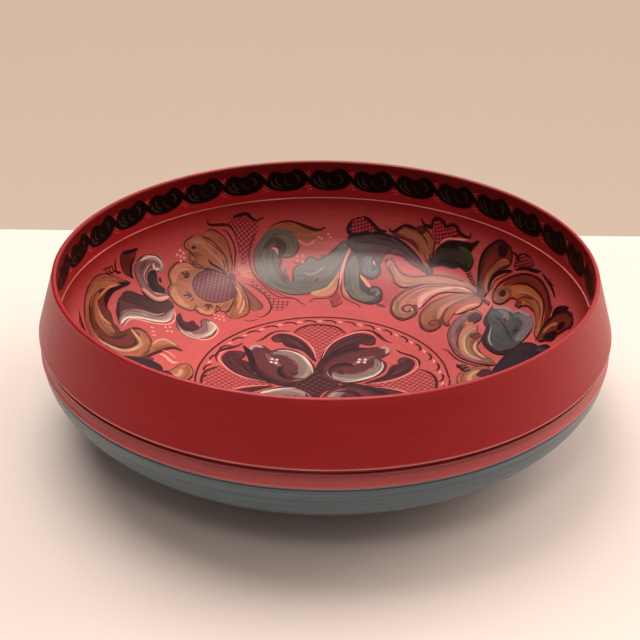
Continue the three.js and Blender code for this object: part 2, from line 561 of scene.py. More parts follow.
def turning_lines(tree):
    """Fine lines round the bowl, as the gouge and a flat brush leave them, with cloudiness and specks."""
    turning = stored(tree, "turning")
    place = add(tree, "ShaderNodeTexCoord").outputs["Object"]
    return {
        "fine": noise(tree, stretched(tree, turning, (0.035, 0.035, 1.5)), 1.0, 4.0, 0.6),
        "brush": noise(tree, stretched(tree, turning, (0.012, 0.012, 0.55)), 1.0, 3.0, 0.55),
        "cloud": noise(tree, place, 26.0),
        "grain": noise(tree, place, 900.0, 2.0),
        "speck": noise(tree, place, 420.0, 1.0, 0.4),
        "place": place,
        "turning": turning,
    }


def red_paint(tree, lines, red):
    """Red oil paint: brushed, a little cloudy, with a few dark pinholes."""
    deep, streak, pinhole = (scaled(red, share) for share in (0.92, 0.8, 0.4))
    fresh = (min(red[0] * 1.05, 1), red[1] * 1.15, red[2] * 1.15)
    colour = blended(tree, ramp(tree, lines["brush"], 0.2, 0.8), deep, fresh)
    colour = blended(tree, ramp(tree, lines["fine"], 0.4, 0.7, 0, 0.6), colour, streak)
    colour = blended(tree, ramp(tree, lines["cloud"], 0.35, 0.7, 0, 0.3), colour, fresh)
    return blended(tree, ramp(tree, lines["speck"], 0.72, 0.78, 0, 0.3), colour, pinhole)


def finish_paint(tree, shader, colour, lines, roughness=PAINT_ROUGHNESS, relief=BRUSH_RELIEF):
    """Links a colour, an uneven satin gloss and the relief of the brushed lines to the shader."""
    tree.links.new(colour, shader.inputs["Base Color"])
    gloss = maths(tree, "ADD", maths(tree, "MULTIPLY", lines["fine"], 0.14), roughness - 0.1)
    gloss = maths(tree, "ADD", gloss, maths(tree, "MULTIPLY", lines["cloud"], 0.1))
    tree.links.new(gloss, shader.inputs["Roughness"])
    height = maths(tree, "ADD", lines["fine"], maths(tree, "MULTIPLY", lines["brush"], 1.4))
    height = maths(tree, "ADD", height, maths(tree, "MULTIPLY", lines["grain"], 0.25))
    bump = add(tree, "ShaderNodeBump", {"Height": height, "Strength": 1.0, "Distance": relief * MM})
    tree.links.new(bump.outputs[0], shader.inputs["Normal"])


def rim_material(colours):
    """Dark red of the ring, a deeper red inside as painted shade, and a painted highlight along its arris,
    patchy like rubbed paint.
    """
    material, tree, shader = new_material("rim paint", 0.25)
    lines = turning_lines(tree)
    flat_place = stretched(tree, lines["place"], (1, 1, 0))
    radius = add(tree, "ShaderNodeVectorMath", {0: flat_place}, operation="LENGTH").outputs["Value"]
    lip_inside = LIP_MIDDLE_RADIUS - LIP_ROUND
    outer_share = ramp(tree, radius, (lip_inside + 0.2) * MM, (lip_inside + 1.2) * MM)
    # Painted shade: the leaning inside is a darker red than the outside, up to the lip
    inside = red_paint(tree, lines, colours.ring_inside_shaded_red)
    colour = blended(tree, outer_share, inside, red_paint(tree, lines, colours.rim_red))
    height = parts_of(tree, lines["place"])[2]
    # Painted highlight along the arris, patchy where the cloud noise is low, like rubbed paint
    arris = ramp(tree, height, (ARRIS_HEIGHT - 0.1) * MM, (ARRIS_HEIGHT + 0.5) * MM, 1, 0)
    rubbed = maths(tree, "MULTIPLY", arris, ramp(tree, lines["cloud"], 0.2, 0.6, 0.55, 1))
    finish_paint(tree, shader, blended(tree, rubbed, colour, colours.arris_highlight_and_wear), lines)
    return material


def band_paint(tree, lines, height, colours):
    """Red of the moulded band, paler and pinker as a painted reflection, with painted shade deepening its
    upper cove, its bead top and neck under the overhang, and its quirk.
    """
    # Painted shade: darker up the cove and over the bead top and neck, where the overhanging ring shades
    # them
    cove_shade = ramp(tree, height, (BAND_EDGE + 0.5) * MM, COVE_TOP * MM, 0, 0.55)
    neck_shade = ramp(tree, height, (BEAD_TOP - 1.4) * MM, (BEAD_TOP - 0.2) * MM)
    deep = maths(tree, "MAXIMUM", cove_shade, neck_shade)
    # The band's pinkish red is partly a painted reflection; its painted shade is a share of the mouth red
    band = blended(tree, deep, red_paint(tree, lines, colours.band_red_and_sheen), scaled(colours.shaded_mouth_red, 0.6))
    # Painted shade: a dark line along the quirk
    quirk_height = (COVE_TOP + QUIRK_RISE / 2) * MM
    from_quirk = maths(tree, "ABSOLUTE", maths(tree, "SUBTRACT", height, quirk_height))
    return blended(tree, ramp(tree, from_quirk, 0, QUIRK_RISE * MM, 0.6, 0), band, colours.quirk_shade)


def underside_paint(tree, lines, blue):
    """Blue-grey paint in brushed tones."""
    dark = scaled(blue, 0.8)
    colour = blended(tree, ramp(tree, lines["brush"], 0.3, 0.7), dark, scaled(blue, 1.2))
    return blended(tree, ramp(tree, lines["fine"], 0.4, 0.75, 0, 0.3), colour, dark)


def rubbed_foot(tree, lines, colour, colours):
    """Bare wood laid over a colour where the foot has rubbed."""
    grain = noise(tree, stretched(tree, lines["place"], (900, 60, 60)), 1.0)
    wood = blended(tree, ramp(tree, grain, 0.3, 0.7), colours.wood_dark, colours.wood_light)
    patchy = ramp(tree, lines["cloud"], 0.35, 0.6, 0.3, 1)
    return blended(tree, maths(tree, "MULTIPLY", stored(tree, "wear", "Fac"), patchy), colour, wood)


def body_material(colours, sizes):
    """Coral red inside, darkened towards the mouth as painted shade under the ring, red band and blue-grey
    underside outside, and bare wood on the foot.
    """
    material, tree, shader = new_material("bowl paint", 0.15, VARNISH)
    lines = turning_lines(tree)
    far = parts_of(tree, lines["turning"])[2]
    height = parts_of(tree, lines["place"])[2]
    band = band_paint(tree, lines, height, colours)
    underside = underside_paint(tree, lines, colours.underside_blue)
    wander = maths(tree, "MULTIPLY", noise(tree, lines["place"], 60.0, 3.0, 0.6), EDGE_WANDER * MM)
    edge = maths(tree, "ADD", height, wander)
    edge_middle = sizes.paint_edge + EDGE_WANDER / 2 * MM
    edge_share = ramp(tree, edge, edge_middle - EDGE_BLUR * MM, edge_middle + EDGE_BLUR * MM)
    outside = blended(tree, edge_share, underside, band)
    outline, inside_start = body_outline()
    outside_length = along(outline)[inside_start]
    # Painted shade: the inside darkens to the mouth red near the mouth, under the ring
    mouth_shade = ramp(tree, maths(tree, "SUBTRACT", far, outside_length), *MOUTH_SHADE_FADE, 1, 0)
    coral, mouth = (red_paint(tree, lines, red) for red in (colours.inside_red, colours.shaded_mouth_red))
    inside = blended(tree, mouth_shade, coral, mouth)
    inside_share = ramp(tree, far, outside_length - 0.05, outside_length + 0.05)
    colour = blended(tree, inside_share, outside, inside)
    finish_paint(tree, shader, rubbed_foot(tree, lines, colour, colours), lines)
    return material


def body_outline():
    """The whole section of the body, and the place in it where the inside starts."""
    outside = np.vstack([foot_outline(), underside_outline(), band_outline(), mouth_outline()])
    return np.vstack([outside, inside_outline()]), len(outside)


class TurnRimRing(bpy.types.Operator):
    """Turn the leaning ring with its fine arris and round lip"""

    bl_idname = "bowl.turn_rim_ring"
    bl_label = "Rim ring"

    def execute(self, context):
        scene = context.scene
        material = rim_material(scene.bowl_colours)
        ring = turned("rim_ring_turned", ring_outline(), scene.bowl_sizes.steps_round, material)
        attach(ring, "root")
        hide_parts("rim_ring")
        return {"FINISHED"}


class TurnBody(bpy.types.Operator):
    """Turn the body with its foot, moulded band, tongue and dished inside"""

    bl_idname = "bowl.turn_body"
    bl_label = "Bowl body"

    def execute(self, context):
        outline, _ = body_outline()
        radius, height = outline.T
        rubbed = (height < 0.4) & (radius > FOOT_RADIUS / 2)
        scene = context.scene
        material = body_material(scene.bowl_colours, scene.bowl_sizes)
        body = turned("bowl_body_turned", outline, scene.bowl_sizes.steps_round, material, rubbed)
        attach(body, "root")
        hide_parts("bowl_body")
        return {"FINISHED"}


# Painted ornament, on a flat chart of the inside


def inside_line():
    """The inside's section from the middle outwards: distances, points and directions off the wood."""
    points = inside_outline()[::-1]
    far = along(points)
    run = np.gradient(points, far, axis=0)
    run /= np.linalg.norm(run, axis=1, keepdims=True)
    return far, points, np.stack([-run[:, 1], run[:, 0]], -1)


INSIDE_FAR, INSIDE_POINTS, INSIDE_OFF = inside_line()


def on_wood(chart, lift):
    """Points on the inside of the bowl for places on the chart, raised off the wood.

    The chart is flat and in millimetres round the middle of the floor. Its distances from the middle are
    measured along the wood.
    """
    far = np.hypot(chart[..., 0], chart[..., 1])
    angle = np.arctan2(chart[..., 1], chart[..., 0])
    line = INSIDE_POINTS + lift * INSIDE_OFF
    radius, height = (np.interp(far, INSIDE_FAR, line[:, k]) for k in (0, 1))
    return np.stack([radius * np.cos(angle), radius * np.sin(angle), height], -1)


def on_flat(chart, lift):
    """Points over a flat sheet, for a mark that is bent round the bowl later."""
    return np.concatenate([chart, np.full((*chart.shape[:-1], 1), lift)], -1)


def smooth(points, step, closed=False):
    """Points one step apart along a smooth curve through the given ones."""
    given = np.asarray(points, float)
    if closed:
        given = np.vstack([given[-1], given, given[:2]])
    else:
        given = np.vstack([2 * given[0] - given[1], given, 2 * given[-1] - given[-2]])
    gaps = np.linalg.norm(np.diff(given[:, :2], axis=0, prepend=given[:1, :2]), axis=1)
    knots = np.cumsum(np.sqrt(gaps) + 1e-6)
    fine = []
    for i in range(len(given) - 3):
        t = np.linspace(knots[i + 1], knots[i + 2], CURVE_STEPS, endpoint=False)[:, None]
        rows = list(given[i : i + 4])
        for reach in (1, 2, 3):
            for k in range(4 - reach):
                low, high = (knots[i + k], knots[i + k + reach]) if reach < 3 else knots[i + 1 : i + 3]
                rows[k] = (high - t) / (high - low) * rows[k] + (t - low) / (high - low) * rows[k + 1]
        fine.append(rows[0])
    fine = np.vstack([*fine, given[-2:-1]])
    far = along(fine)
    places = np.linspace(0, far[-1], max(3, round(far[-1] / step) + 1))
    return np.stack([np.interp(places, far, values) for values in fine.T], -1)


def across_steps(width):
    """Places across a mark from its left edge to its right one, closer together on a wide mark."""
    return np.linspace(1, -1, 3 + 2 * int(width / COLUMNS))


def stroke_grid(path, widths, step):
    """Chart places of a brush stroke: its grid, and distances along and across.

    One width swells and tapers, more of them are spread evenly along the path.
    """
    middle = smooth(path, step)
    far = along(middle)
    share = far / far[-1]
    if np.ndim(widths):
        half = np.interp(share, np.linspace(0, 1, len(widths)), widths) / 2
    else:
        # The first and the last fifth taper
        half = np.sqrt(np.clip(np.minimum(share, 1 - share) * 5, 0.06, 1)) * widths / 2
    # Both ends are round
    for distance, end in ((far, half[0]), (far[-1] - far, half[-1])):
        rounded = np.sqrt(1 - (1 - np.clip(distance / end, 0, 1)) ** 2)
        half = np.minimum(half, np.where(distance < end, end * rounded + 0.02, half))
    ahead = np.gradient(middle, axis=0)
    ahead /= np.linalg.norm(ahead, axis=1, keepdims=True) + 1e-9
    side = np.stack([-ahead[:, 1], ahead[:, 0]], -1)
    turn = np.gradient(np.unwrap(np.arctan2(ahead[:, 1], ahead[:, 0])), far)
    offset = half[:, None] * across_steps(2 * half.max())
    # The inner edge of a bend stops short of the bend's own centre
    tightest = 0.92 / np.maximum(np.abs(turn), 1e-6)[:, None]
    inner = np.sign(offset) == np.sign(turn)[:, None]
    offset = np.where(inner, np.clip(offset, -tightest, tightest), offset)
    return middle[:, None] + offset[..., None] * side[:, None], far, offset


def leaf_grid(outer, inner, step):
    """Chart places between the two edges of a leaf: its grid, and distances along and across."""
    edges = [smooth(edge, 0.4) for edge in (outer, inner)]
    rows = max(6, round(along(edges[0])[-1] / step))
    outer, inner = (edge[np.linspace(0, len(edge) - 1, rows).astype(int)] for edge in edges)
    breadth = np.linalg.norm(outer - inner, axis=1)
    share = (1 - across_steps(breadth.max()))[None, :, None] / 2
    grid = outer[:, None] * (1 - share) + inner[:, None] * share
    return grid, along(outer), (0.5 - share[..., 0]) * breadth[:, None]


def inside_ring(places, ring):
    """Which places lie inside a closed outline."""
    x, y = places[:, None].transpose(2, 0, 1)
    next_ring = np.roll(ring, -1, axis=0)
    crosses = (ring[:, 1] > y) != (next_ring[:, 1] > y)
    rise = np.where(crosses, next_ring[:, 1] - ring[:, 1], 1)
    at = ring[:, 0] + (y - ring[:, 1]) / rise * (next_ring[:, 0] - ring[:, 0])
    return (crosses & (x < at)).sum(1) % 2 == 1


def hatch_lines(ring, gap, degrees):
    """Ends of the parallel lines that fill a closed outline."""
    angle = math.radians(degrees)
    run = np.array([math.cos(angle), math.sin(angle)])
    rise = np.array([-math.sin(angle), math.cos(angle)])
    height, far = ring @ rise, ring @ run
    next_height, next_far = np.roll(height, -1), np.roll(far, -1)
    lines = []
    for level in np.arange(math.ceil(height.min() / gap), height.max() / gap) * gap:
        cross = np.nonzero((height < level) != (next_height < level))[0]
        share = (level - height[cross]) / (next_height[cross] - height[cross])
        places = np.sort(far[cross] + share * (next_far[cross] - far[cross]))
        for start, end in zip(places[0::2], places[1::2]):
            if end - start > SHORTEST_LINE:
                lines.append((start * run + level * rise, end * run + level * rise))
    return lines


class Layers:
    """Counts the coats of paint over each square millimetre of the chart."""

    def __init__(self):
        self.count = np.zeros((2 * CHART_HALF, 2 * CHART_HALF), int)

    def add(self, places):
        """Counts one more coat over some places, and returns how many lie under it."""
        around = np.array([(0, 0), (1, 0), (-1, 0), (0, 1), (0, -1)])
        cells = np.asarray(places).reshape(-1, 1, 2) + around + CHART_HALF
        cells = np.round(cells).astype(int).reshape(-1, 2)
        columns, rows = np.unique(cells, axis=0).T
        under = self.count[rows, columns].max()
        self.count[rows, columns] = under + 1
        return under


class Coat:
    """The brush marks of one motif, which become one mesh of thin closed sheets let into the wood."""

    def __init__(self, name, paints, layers, place=on_wood, degrees=0):
        self.name = name
        self.paints = paints
        self.layers = layers
        self.place = place
        self.marks = []
        self.dabs = []
        self.turn(degrees)

    def turn(self, degrees=0, centre=(0, 0)):
        """Turns what is painted next about a centre."""
        self.degrees = degrees
        self.centre = np.array(centre)

    def put(self, points):
        """Chart places of points, after the motif's turn."""
        angle = math.radians(self.degrees)
        spin = np.array([(math.cos(angle), math.sin(angle)), (-math.sin(angle), math.cos(angle))])
        return (np.array(points, float) - self.centre) @ spin + self.centre

    def step(self, points):
        """How far apart the rows of a mark stand: close where the wood curves, wider on the flat floor."""
        on_floor = np.hypot(*points.T).max() < MEDALLION_RADIUS
        return FLOOR_ROWS if on_floor else WALL_ROWS

    def paint(self, name):
        """A colour of the palette."""
        return np.array(getattr(self.paints, name))

    def keep(self, points, faces, flats, brush, lit, shade, light):
        """Stores one closed sheet, with its place on the brush's own ground and its two paints.

        Flats are the corners of its faces on the sheet of colours, where hidden faces shrink to a line.
        """
        colours = [np.tile(colour, (len(points), 1)) for colour in (shade, light)]
        self.marks.append((points, faces, flats, brush, lit, *colours))

    def strip(self, grid, far, offset, lit, soft, shade, light, level):
        """A sheet over a grid of chart places, lit along one line of it."""
        rows, columns = grid.shape[:2]
        across = np.linspace(1, -1, columns)
        lit_row = np.clip(1 - np.abs(across - lit) / (2 * soft), 0, 1)
        ahead = np.diff(grid[:, columns // 2], axis=0)
        turned_back = np.cross(ahead, grid[:-1, -1] - grid[:-1, 0]).sum() > 0
        if turned_back:
            grid, offset, lit_row = grid[:, ::-1], offset[:, ::-1], lit_row[::-1]
        top = self.place(grid, FIRST_LIFT + COAT_THICKNESS * level)
        bottom = self.place(grid[:, [-1, 0]], -LET_IN)
        ring = columns + 2
        points = np.concatenate([top, bottom], 1).reshape(-1, 3)
        edges = offset[:, [-1, 0]] + np.sign(offset[:, [-1, 0]]) * 0.3
        across_ring = np.concatenate([offset, edges], 1)
        brush = np.stack([np.repeat(far[:, None], ring, 1), across_ring], -1).reshape(-1, 2)
        lit_rows = np.tile(np.concatenate([lit_row, lit_row[[-1, 0]]]), rows)
        here = (np.arange(rows - 1)[:, None] * ring + np.arange(ring)).ravel()
        beside = (np.arange(rows - 1)[:, None] * ring + (np.arange(ring) + 1) % ring).ravel()
        faces = np.stack([here, beside, beside + ring, here + ring], -1)
        flats = faces.copy()
        under = here % ring == columns
        flats[under] = flats[under][:, [1, 1, 2, 2]]
        first = np.arange(ring)
        caps = [tuple(first[::-1]), tuple(first + (rows - 1) * ring)]
        faces, flats = ([*map(tuple, table.tolist()), *caps] for table in (faces, flats))
        self.keep(points, faces, flats, brush, lit_rows, self.paint(shade), self.paint(light))

    def lay(self, path, widths, shade, light=None, lit=0.0, soft=1.0, lines=()):
        """A brush stroke along chart places, from its shade to its light, with any lines along its edges."""
        grid, far, offset = stroke_grid(path, widths, self.step(path))
        self.strip(grid, far, offset, lit, soft, shade, light or shade, self.layers.add(grid))
        self.edge_lines(grid, lines)

    def edge_lines(self, grid, widths):
        """Fine lines along the two edges of a mark."""
        for side, width in zip((0, -1), widths):
            if width:
                self.lay(grid[::2, side], width, "liner")

    def stroke(self, path, widths, shade, light=None, lit=0.0, soft=1.0, lines=()):
        """A round brush's stroke in two paints."""
        self.lay(self.put(path), widths, shade, light, lit, soft, lines)

    def line(self, path, widths=1.0, colour="liner"):
        """A liner brush's stroke in one paint."""
        self.lay(self.put(path), widths, colour)

    def leaf(self, outer, inner, shade, light=None, lit=0.0, soft=1.0, lines=()):
        """A mark between two edges that start and end together."""
        outer, inner = self.put(outer), self.put(inner)
        grid, far, offset = leaf_grid(outer, inner, self.step(outer))
        self.strip(grid, far, offset, lit, soft, shade, light or shade, self.layers.add(grid))
        self.edge_lines(grid, lines)

    def patch(self, outline, colour, line=0.6):
        """A filled shape, a little darker along its outline."""
        outline = self.put(outline)
        step = self.step(outline)
        ring = smooth(outline, PATCH_EDGE, closed=True)[:-1]
        if np.cross(ring, np.roll(ring, -1, axis=0)).sum() < 0:
            ring = ring[::-1]
        # Places inside the outline, joined with it into triangles
        ticks = [np.arange(low, high, step * 1.2) for low, high in zip(ring.min(0), ring.max(0))]
        field = np.stack(np.meshgrid(*ticks), -1).reshape(-1, 2)
        edge_gap = np.linalg.norm(field[:, None] - ring[None], axis=2).min(1)
        field = field[inside_ring(field, ring) & (edge_gap > PATCH_INSET)]
        edges = [(i, (i + 1) % len(ring)) for i in range(len(ring))]
        chart = [Vector(place) for place in np.vstack([ring, field])]
        chart, _, faces = geometry.delaunay_2d_cdt(chart, edges, [], 1, 1e-4)[:3]
        chart = np.array([tuple(place) for place in chart])
        level = self.layers.add(chart)
        lift = FIRST_LIFT + COAT_THICKNESS * level
        points = np.vstack([self.place(chart, lift), self.place(chart, -LET_IN)])
        count = len(chart)
        tops = [tuple(face) for face in faces]
        corners = chart[np.array(tops)]
        if np.cross(corners[0, 1] - corners[0, 0], corners[0, 2] - corners[0, 0]) < 0:
            tops = [face[::-1] for face in tops]
        # Walls stand under the sides that only one triangle has
        sides = {(face[k], face[(k + 1) % 3]) for face in tops for k in range(3)}
        rim = sorted(side for side in sides if side[::-1] not in sides)
        walls = [(a, a + count, b + count, b) for a, b in rim]
        unders = [tuple(corner + count for corner in face[::-1]) for face in tops]
        flats = tops + walls + [(face[0],) * 3 for face in unders]
        # The paint is darker near the outline
        brush = np.tile(chart - chart.min(0), (2, 1))
        edge_gap = np.linalg.norm(chart[:, None] - ring[None], axis=2).min(1)
        lit = np.tile(np.clip(0.45 + edge_gap / 5, 0, 1), 2)
        light = self.paint(colour)
        self.keep(points, tops + walls + unders, flats, brush, lit, light * 0.6, light)
        if line:
            self.lay(np.vstack([ring, ring[:1]])[::2], (line, line), "liner")

    def hatch(self, outline, gap, turns, width=0.45, colour="hatch", rounded=True):
        """Crossed fine lines that fill a shape, which is round or has straight sides."""
        ring = self.put(outline)
        if rounded:
            ring = smooth(ring, 1.0, closed=True)
        for degrees in turns:
            lines = hatch_lines(ring, gap, degrees + self.degrees)
            grids = [stroke_grid(ends, (width, width), 2.0) for ends in lines]
            level = self.layers.add(np.vstack([grid.reshape(-1, 2) for grid, _, _ in grids]))
            for grid, far, offset in grids:
                self.strip(grid, far, offset, 0, 1, colour, colour, level)

    def dots(self, places, size, colour):
        """Round dabs: large ones are filled here, small ones are kept for the dotting brush."""
        for place in places:
            if size > LARGEST_DAB:
                self.patch(arc(place, size / 2, 0, 360, 8)[:-1], colour)
            else:
                chart = self.put([place])
                self.dabs.append((chart[0], size, colour, self.layers.add(chart)))

    def spread(self):
        """Where each mark lies on the flat sheet that its colour is kept on, and how wide that sheet is."""
        sizes = np.array([np.ptp(mark[3], axis=0) + 2 * SHEET_GAP for mark in self.marks])
        width = max(sizes[:, 0].max(), math.sqrt(sizes.prod(1).sum()) * 1.1)
        corner = np.zeros(2)
        shelf = 0.0
        places = np.zeros((len(sizes), 2))
        for index in np.argsort(-sizes[:, 1], kind="stable"):
            if corner[0] + sizes[index, 0] > width:
                corner = np.array([0.0, corner[1] + shelf])
                shelf = 0.0
            places[index] = corner - self.marks[index][3].min(0) + SHEET_GAP
            corner = corner + (sizes[index, 0], 0)
            shelf = max(shelf, sizes[index, 1])
        return places, max(width, corner[1] + shelf)

    def finish(self, material):
        """Joins the marks into one painted piece."""
        places, width = self.spread()
        start = 0
        faces = []
        flats = []
        for mark in self.marks:
            faces += [tuple(corner + start for corner in face) for face in mark[1]]
            flats += [tuple(corner + start for corner in face) for face in mark[2]]
            start += len(mark[0])
        columns = [[mark[k] for mark in self.marks] for k in (0, 3, 4, 5, 6)]
        points, brush, lit, shade, light = (np.concatenate(column) for column in columns)
        owner = np.repeat(np.arange(len(self.marks)), [len(mark[0]) for mark in self.marks])
        item = mesh_object(self.name, points, faces, material)
        store(item.data, "brush", "FLOAT_VECTOR", np.column_stack([brush, owner * BRISTLE_SHIFT]))
        store(item.data, "lit", "FLOAT", lit)
        for name, colour in (("shade", shade), ("light", light)):
            store(item.data, name, "FLOAT_COLOR", np.column_stack([colour, np.ones(len(colour))]))
        sheet = (brush + places[owner]) / width
        corners = np.concatenate([np.array(face) for face in flats])
        layer = item.data.uv_layers.new(name="OFBake")
        layer.data.foreach_set("uv", sheet[corners].astype(np.float32).ravel())
        item.data.shade_smooth()
        item.data.set_sharp_from_angle(angle=SHARP_EDGE)
        return item


def medallion_leaves(coat):
    """Fan of crossed lines between two curled leaves."""
    coat.hatch([(-4, 22), (-6, 33), (-14, 49), (-19, 54), (-7, 63), (6, 62), (12, 54), (8, 50), (3, 43),
        (-1, 34), (-3, 22)], 2.7, (48, -40), 0.55)
    coat.line([(-19, 53), (-15, 59), (-8, 63), (6, 61.5), (13, 53.5)], 1.7)
    coat.patch([(-5, 23), (-7, 34), (-16, 49), (-26, 52.5), (-30, 50), (-31.5, 47), (-30, 44), (-27, 43),
        (-25, 44), (-24, 41), (-22, 39), (-13, 35)], "aubergine", line=0.45)
    coat.stroke([(-24, 50), (-18, 46), (-9, 31)], (2.2, 4, 2.2), "aubergine", "plum", -0.4, 0.9)
    coat.stroke([(-28.5, 46.5), (-26, 49), (-21, 49), (-14, 43), (-9, 34)], (0.8, 2.4, 1.8, 0.6), "black",
        "aubergine", 0, 0.6)
    coat.line([(-22, 41), (-17, 40), (-12, 36), (-8, 29)], 1.3, "black")
    coat.stroke([(-29.5, 48.5), (-28, 45), (-26, 46), (-26, 48)], (2.2, 3, 1), "aubergine", "plum", 0, 0.8)
    coat.line([(-24.5, 44), (-18, 40), (-14, 36.5)], (0.7, 0.4))
    coat.line([(-5, 26), (-6.5, 36), (-10, 44), (-21, 54), (-27, 54), (-31, 52)], 0.6, "pink")
    coat.line([(-20, 55), (-27, 55), (-32, 52), (-37, 45), (-40.5, 42.5)], 1.6)
    coat.patch([(-2, 23), (-1, 33), (8, 47), (20, 54), (25, 53), (29, 50), (29, 42), (25, 41), (20, 43),
        (20, 40), (6, 34)], "aubergine", line=0.45)
    coat.stroke([(24, 51.5), (17, 49), (10, 44), (4, 36)], 4.5, "aubergine", "plum", 0.3, 0.9)
    coat.stroke([(28, 46), (26, 50), (20, 50.5), (11, 45), (3.5, 35)], (0.8, 2.4, 2, 0.6), "black",
        "aubergine", 0, 0.6)
    coat.line([(19, 43), (13, 41), (7, 36), (2, 29)], 1.3, "black")
    coat.stroke([(28, 48), (28, 45), (25, 43), (23.5, 46)], 2.8, "aubergine", "plum", 0, 0.8)
    coat.line([(20.5, 43.5), (13, 40), (7, 36)], (0.7, 0.8, 0.3))
    coat.line([(-1.5, 27), (1, 37), (6, 46), (13, 52), (20, 55.5), (26, 55), (30, 51.5)], 0.6, "pink")
    coat.line([(15, 56), (22, 57.5), (28, 56), (36, 45), (39.5, 43)], (0.3, 1.4, 2.6, 0.6))


def bud(coat):
    """Plump bud with a dark edge, a pale lobe and an inner comma. Every other one has a horn."""
    coat.patch([(-43, 36), (-41, 39), (-37, 39), (-33, 36), (-31, 33), (-27, 36), (-22, 36.5), (-16, 34),
        (-8, 24), (-5, 12), (-15, -2), (-26, -2), (-40.5, 13), (-41.5, 20)], "plum", line=0.5)
    coat.stroke([(-40, 34), (-36, 23), (-24, 6), (-15, 0)], 11, "aubergine", "plum", -0.2, 1.1)
    coat.stroke([(-34, 31), (-29, 22), (-24, 17)], (2, 5, 2), "plum", "mauve", 0, 0.9)
    coat.stroke([(-42, 27), (-40, 16), (-29, 2), (-21, -1), (-14, 1)], 5, "black", "aubergine", 0.9, 0.9)
    coat.stroke([(-42.5, 33), (-42, 37), (-39, 38), (-35.5, 36.5)], 2.8, "mauve", "grey_white", 0.4, 0.8)
    coat.stroke([(-31, 30.5), (-26, 31.5), (-20, 30), (-15, 25), (-11, 16), (-13, 8), (-18, 3)],
        (2, 5.5, 9, 8.5, 3), "plum", "pale_grey", 0.7, 1.5)
    coat.stroke([(-28, 34), (-21, 34), (-13, 29), (-8, 19), (-6.5, 11)], (0.6, 1.8, 2.2, 1.6, 0.6),
        "pale_grey", "white", 0.6, 0.9)
    coat.line([(-25, 27), (-19, 25), (-16, 20), (-15, 13)], 0.9, "plum")
    coat.line([(-25, 30), (-18, 28), (-13, 21), (-12, 12)], 0.5, "mauve")
    coat.stroke([(-23, 19), (-25, 14), (-23, 8), (-17, 4.5), (-11, 6)], (1, 4, 4.4, 2.4, 0.6), "black",
        "aubergine", 0.6, 0.5)
    coat.line([(-20, 12), (-17, 9.5), (-15, 11), (-16, 13.5)], 1.2, "black")
    if coat.degrees % 180 == 0:
        coat.line([(-47.5, 38), (-44, 31), (-41.5, 23), (-40, 14)], (0.8, 4.4, 4, 1.6), "black")
    coat.dots([(-30, 24.8), (-27.2, 24.3), (-30.3, 21.4), (-27.6, 20.8)], 2.1, "white")


def heart_star(coat):
    """Netted star with four points at the medallion's heart."""
    coat.patch([(-4, 12), (0, 6), (8, -1), (0, -8), (-4, -14), (-10, -8), (-17, -1), (-10, 5)], "plum")
    star = [(-4, 13), (0, 6), (9, -1), (0, -8), (-4, -15), (-10, -8), (-18, -1), (-10, 5)]
    coat.hatch(star, 3.3, (52, -38), 0.95, "black", rounded=False)


def medallion_ring(coat):
    """Thin dark ring round the medallion."""
    coat.line(arc(MEDALLION_MIDDLE, MEDALLION_RING, 0, 360, 24), (1.15, 1.15))


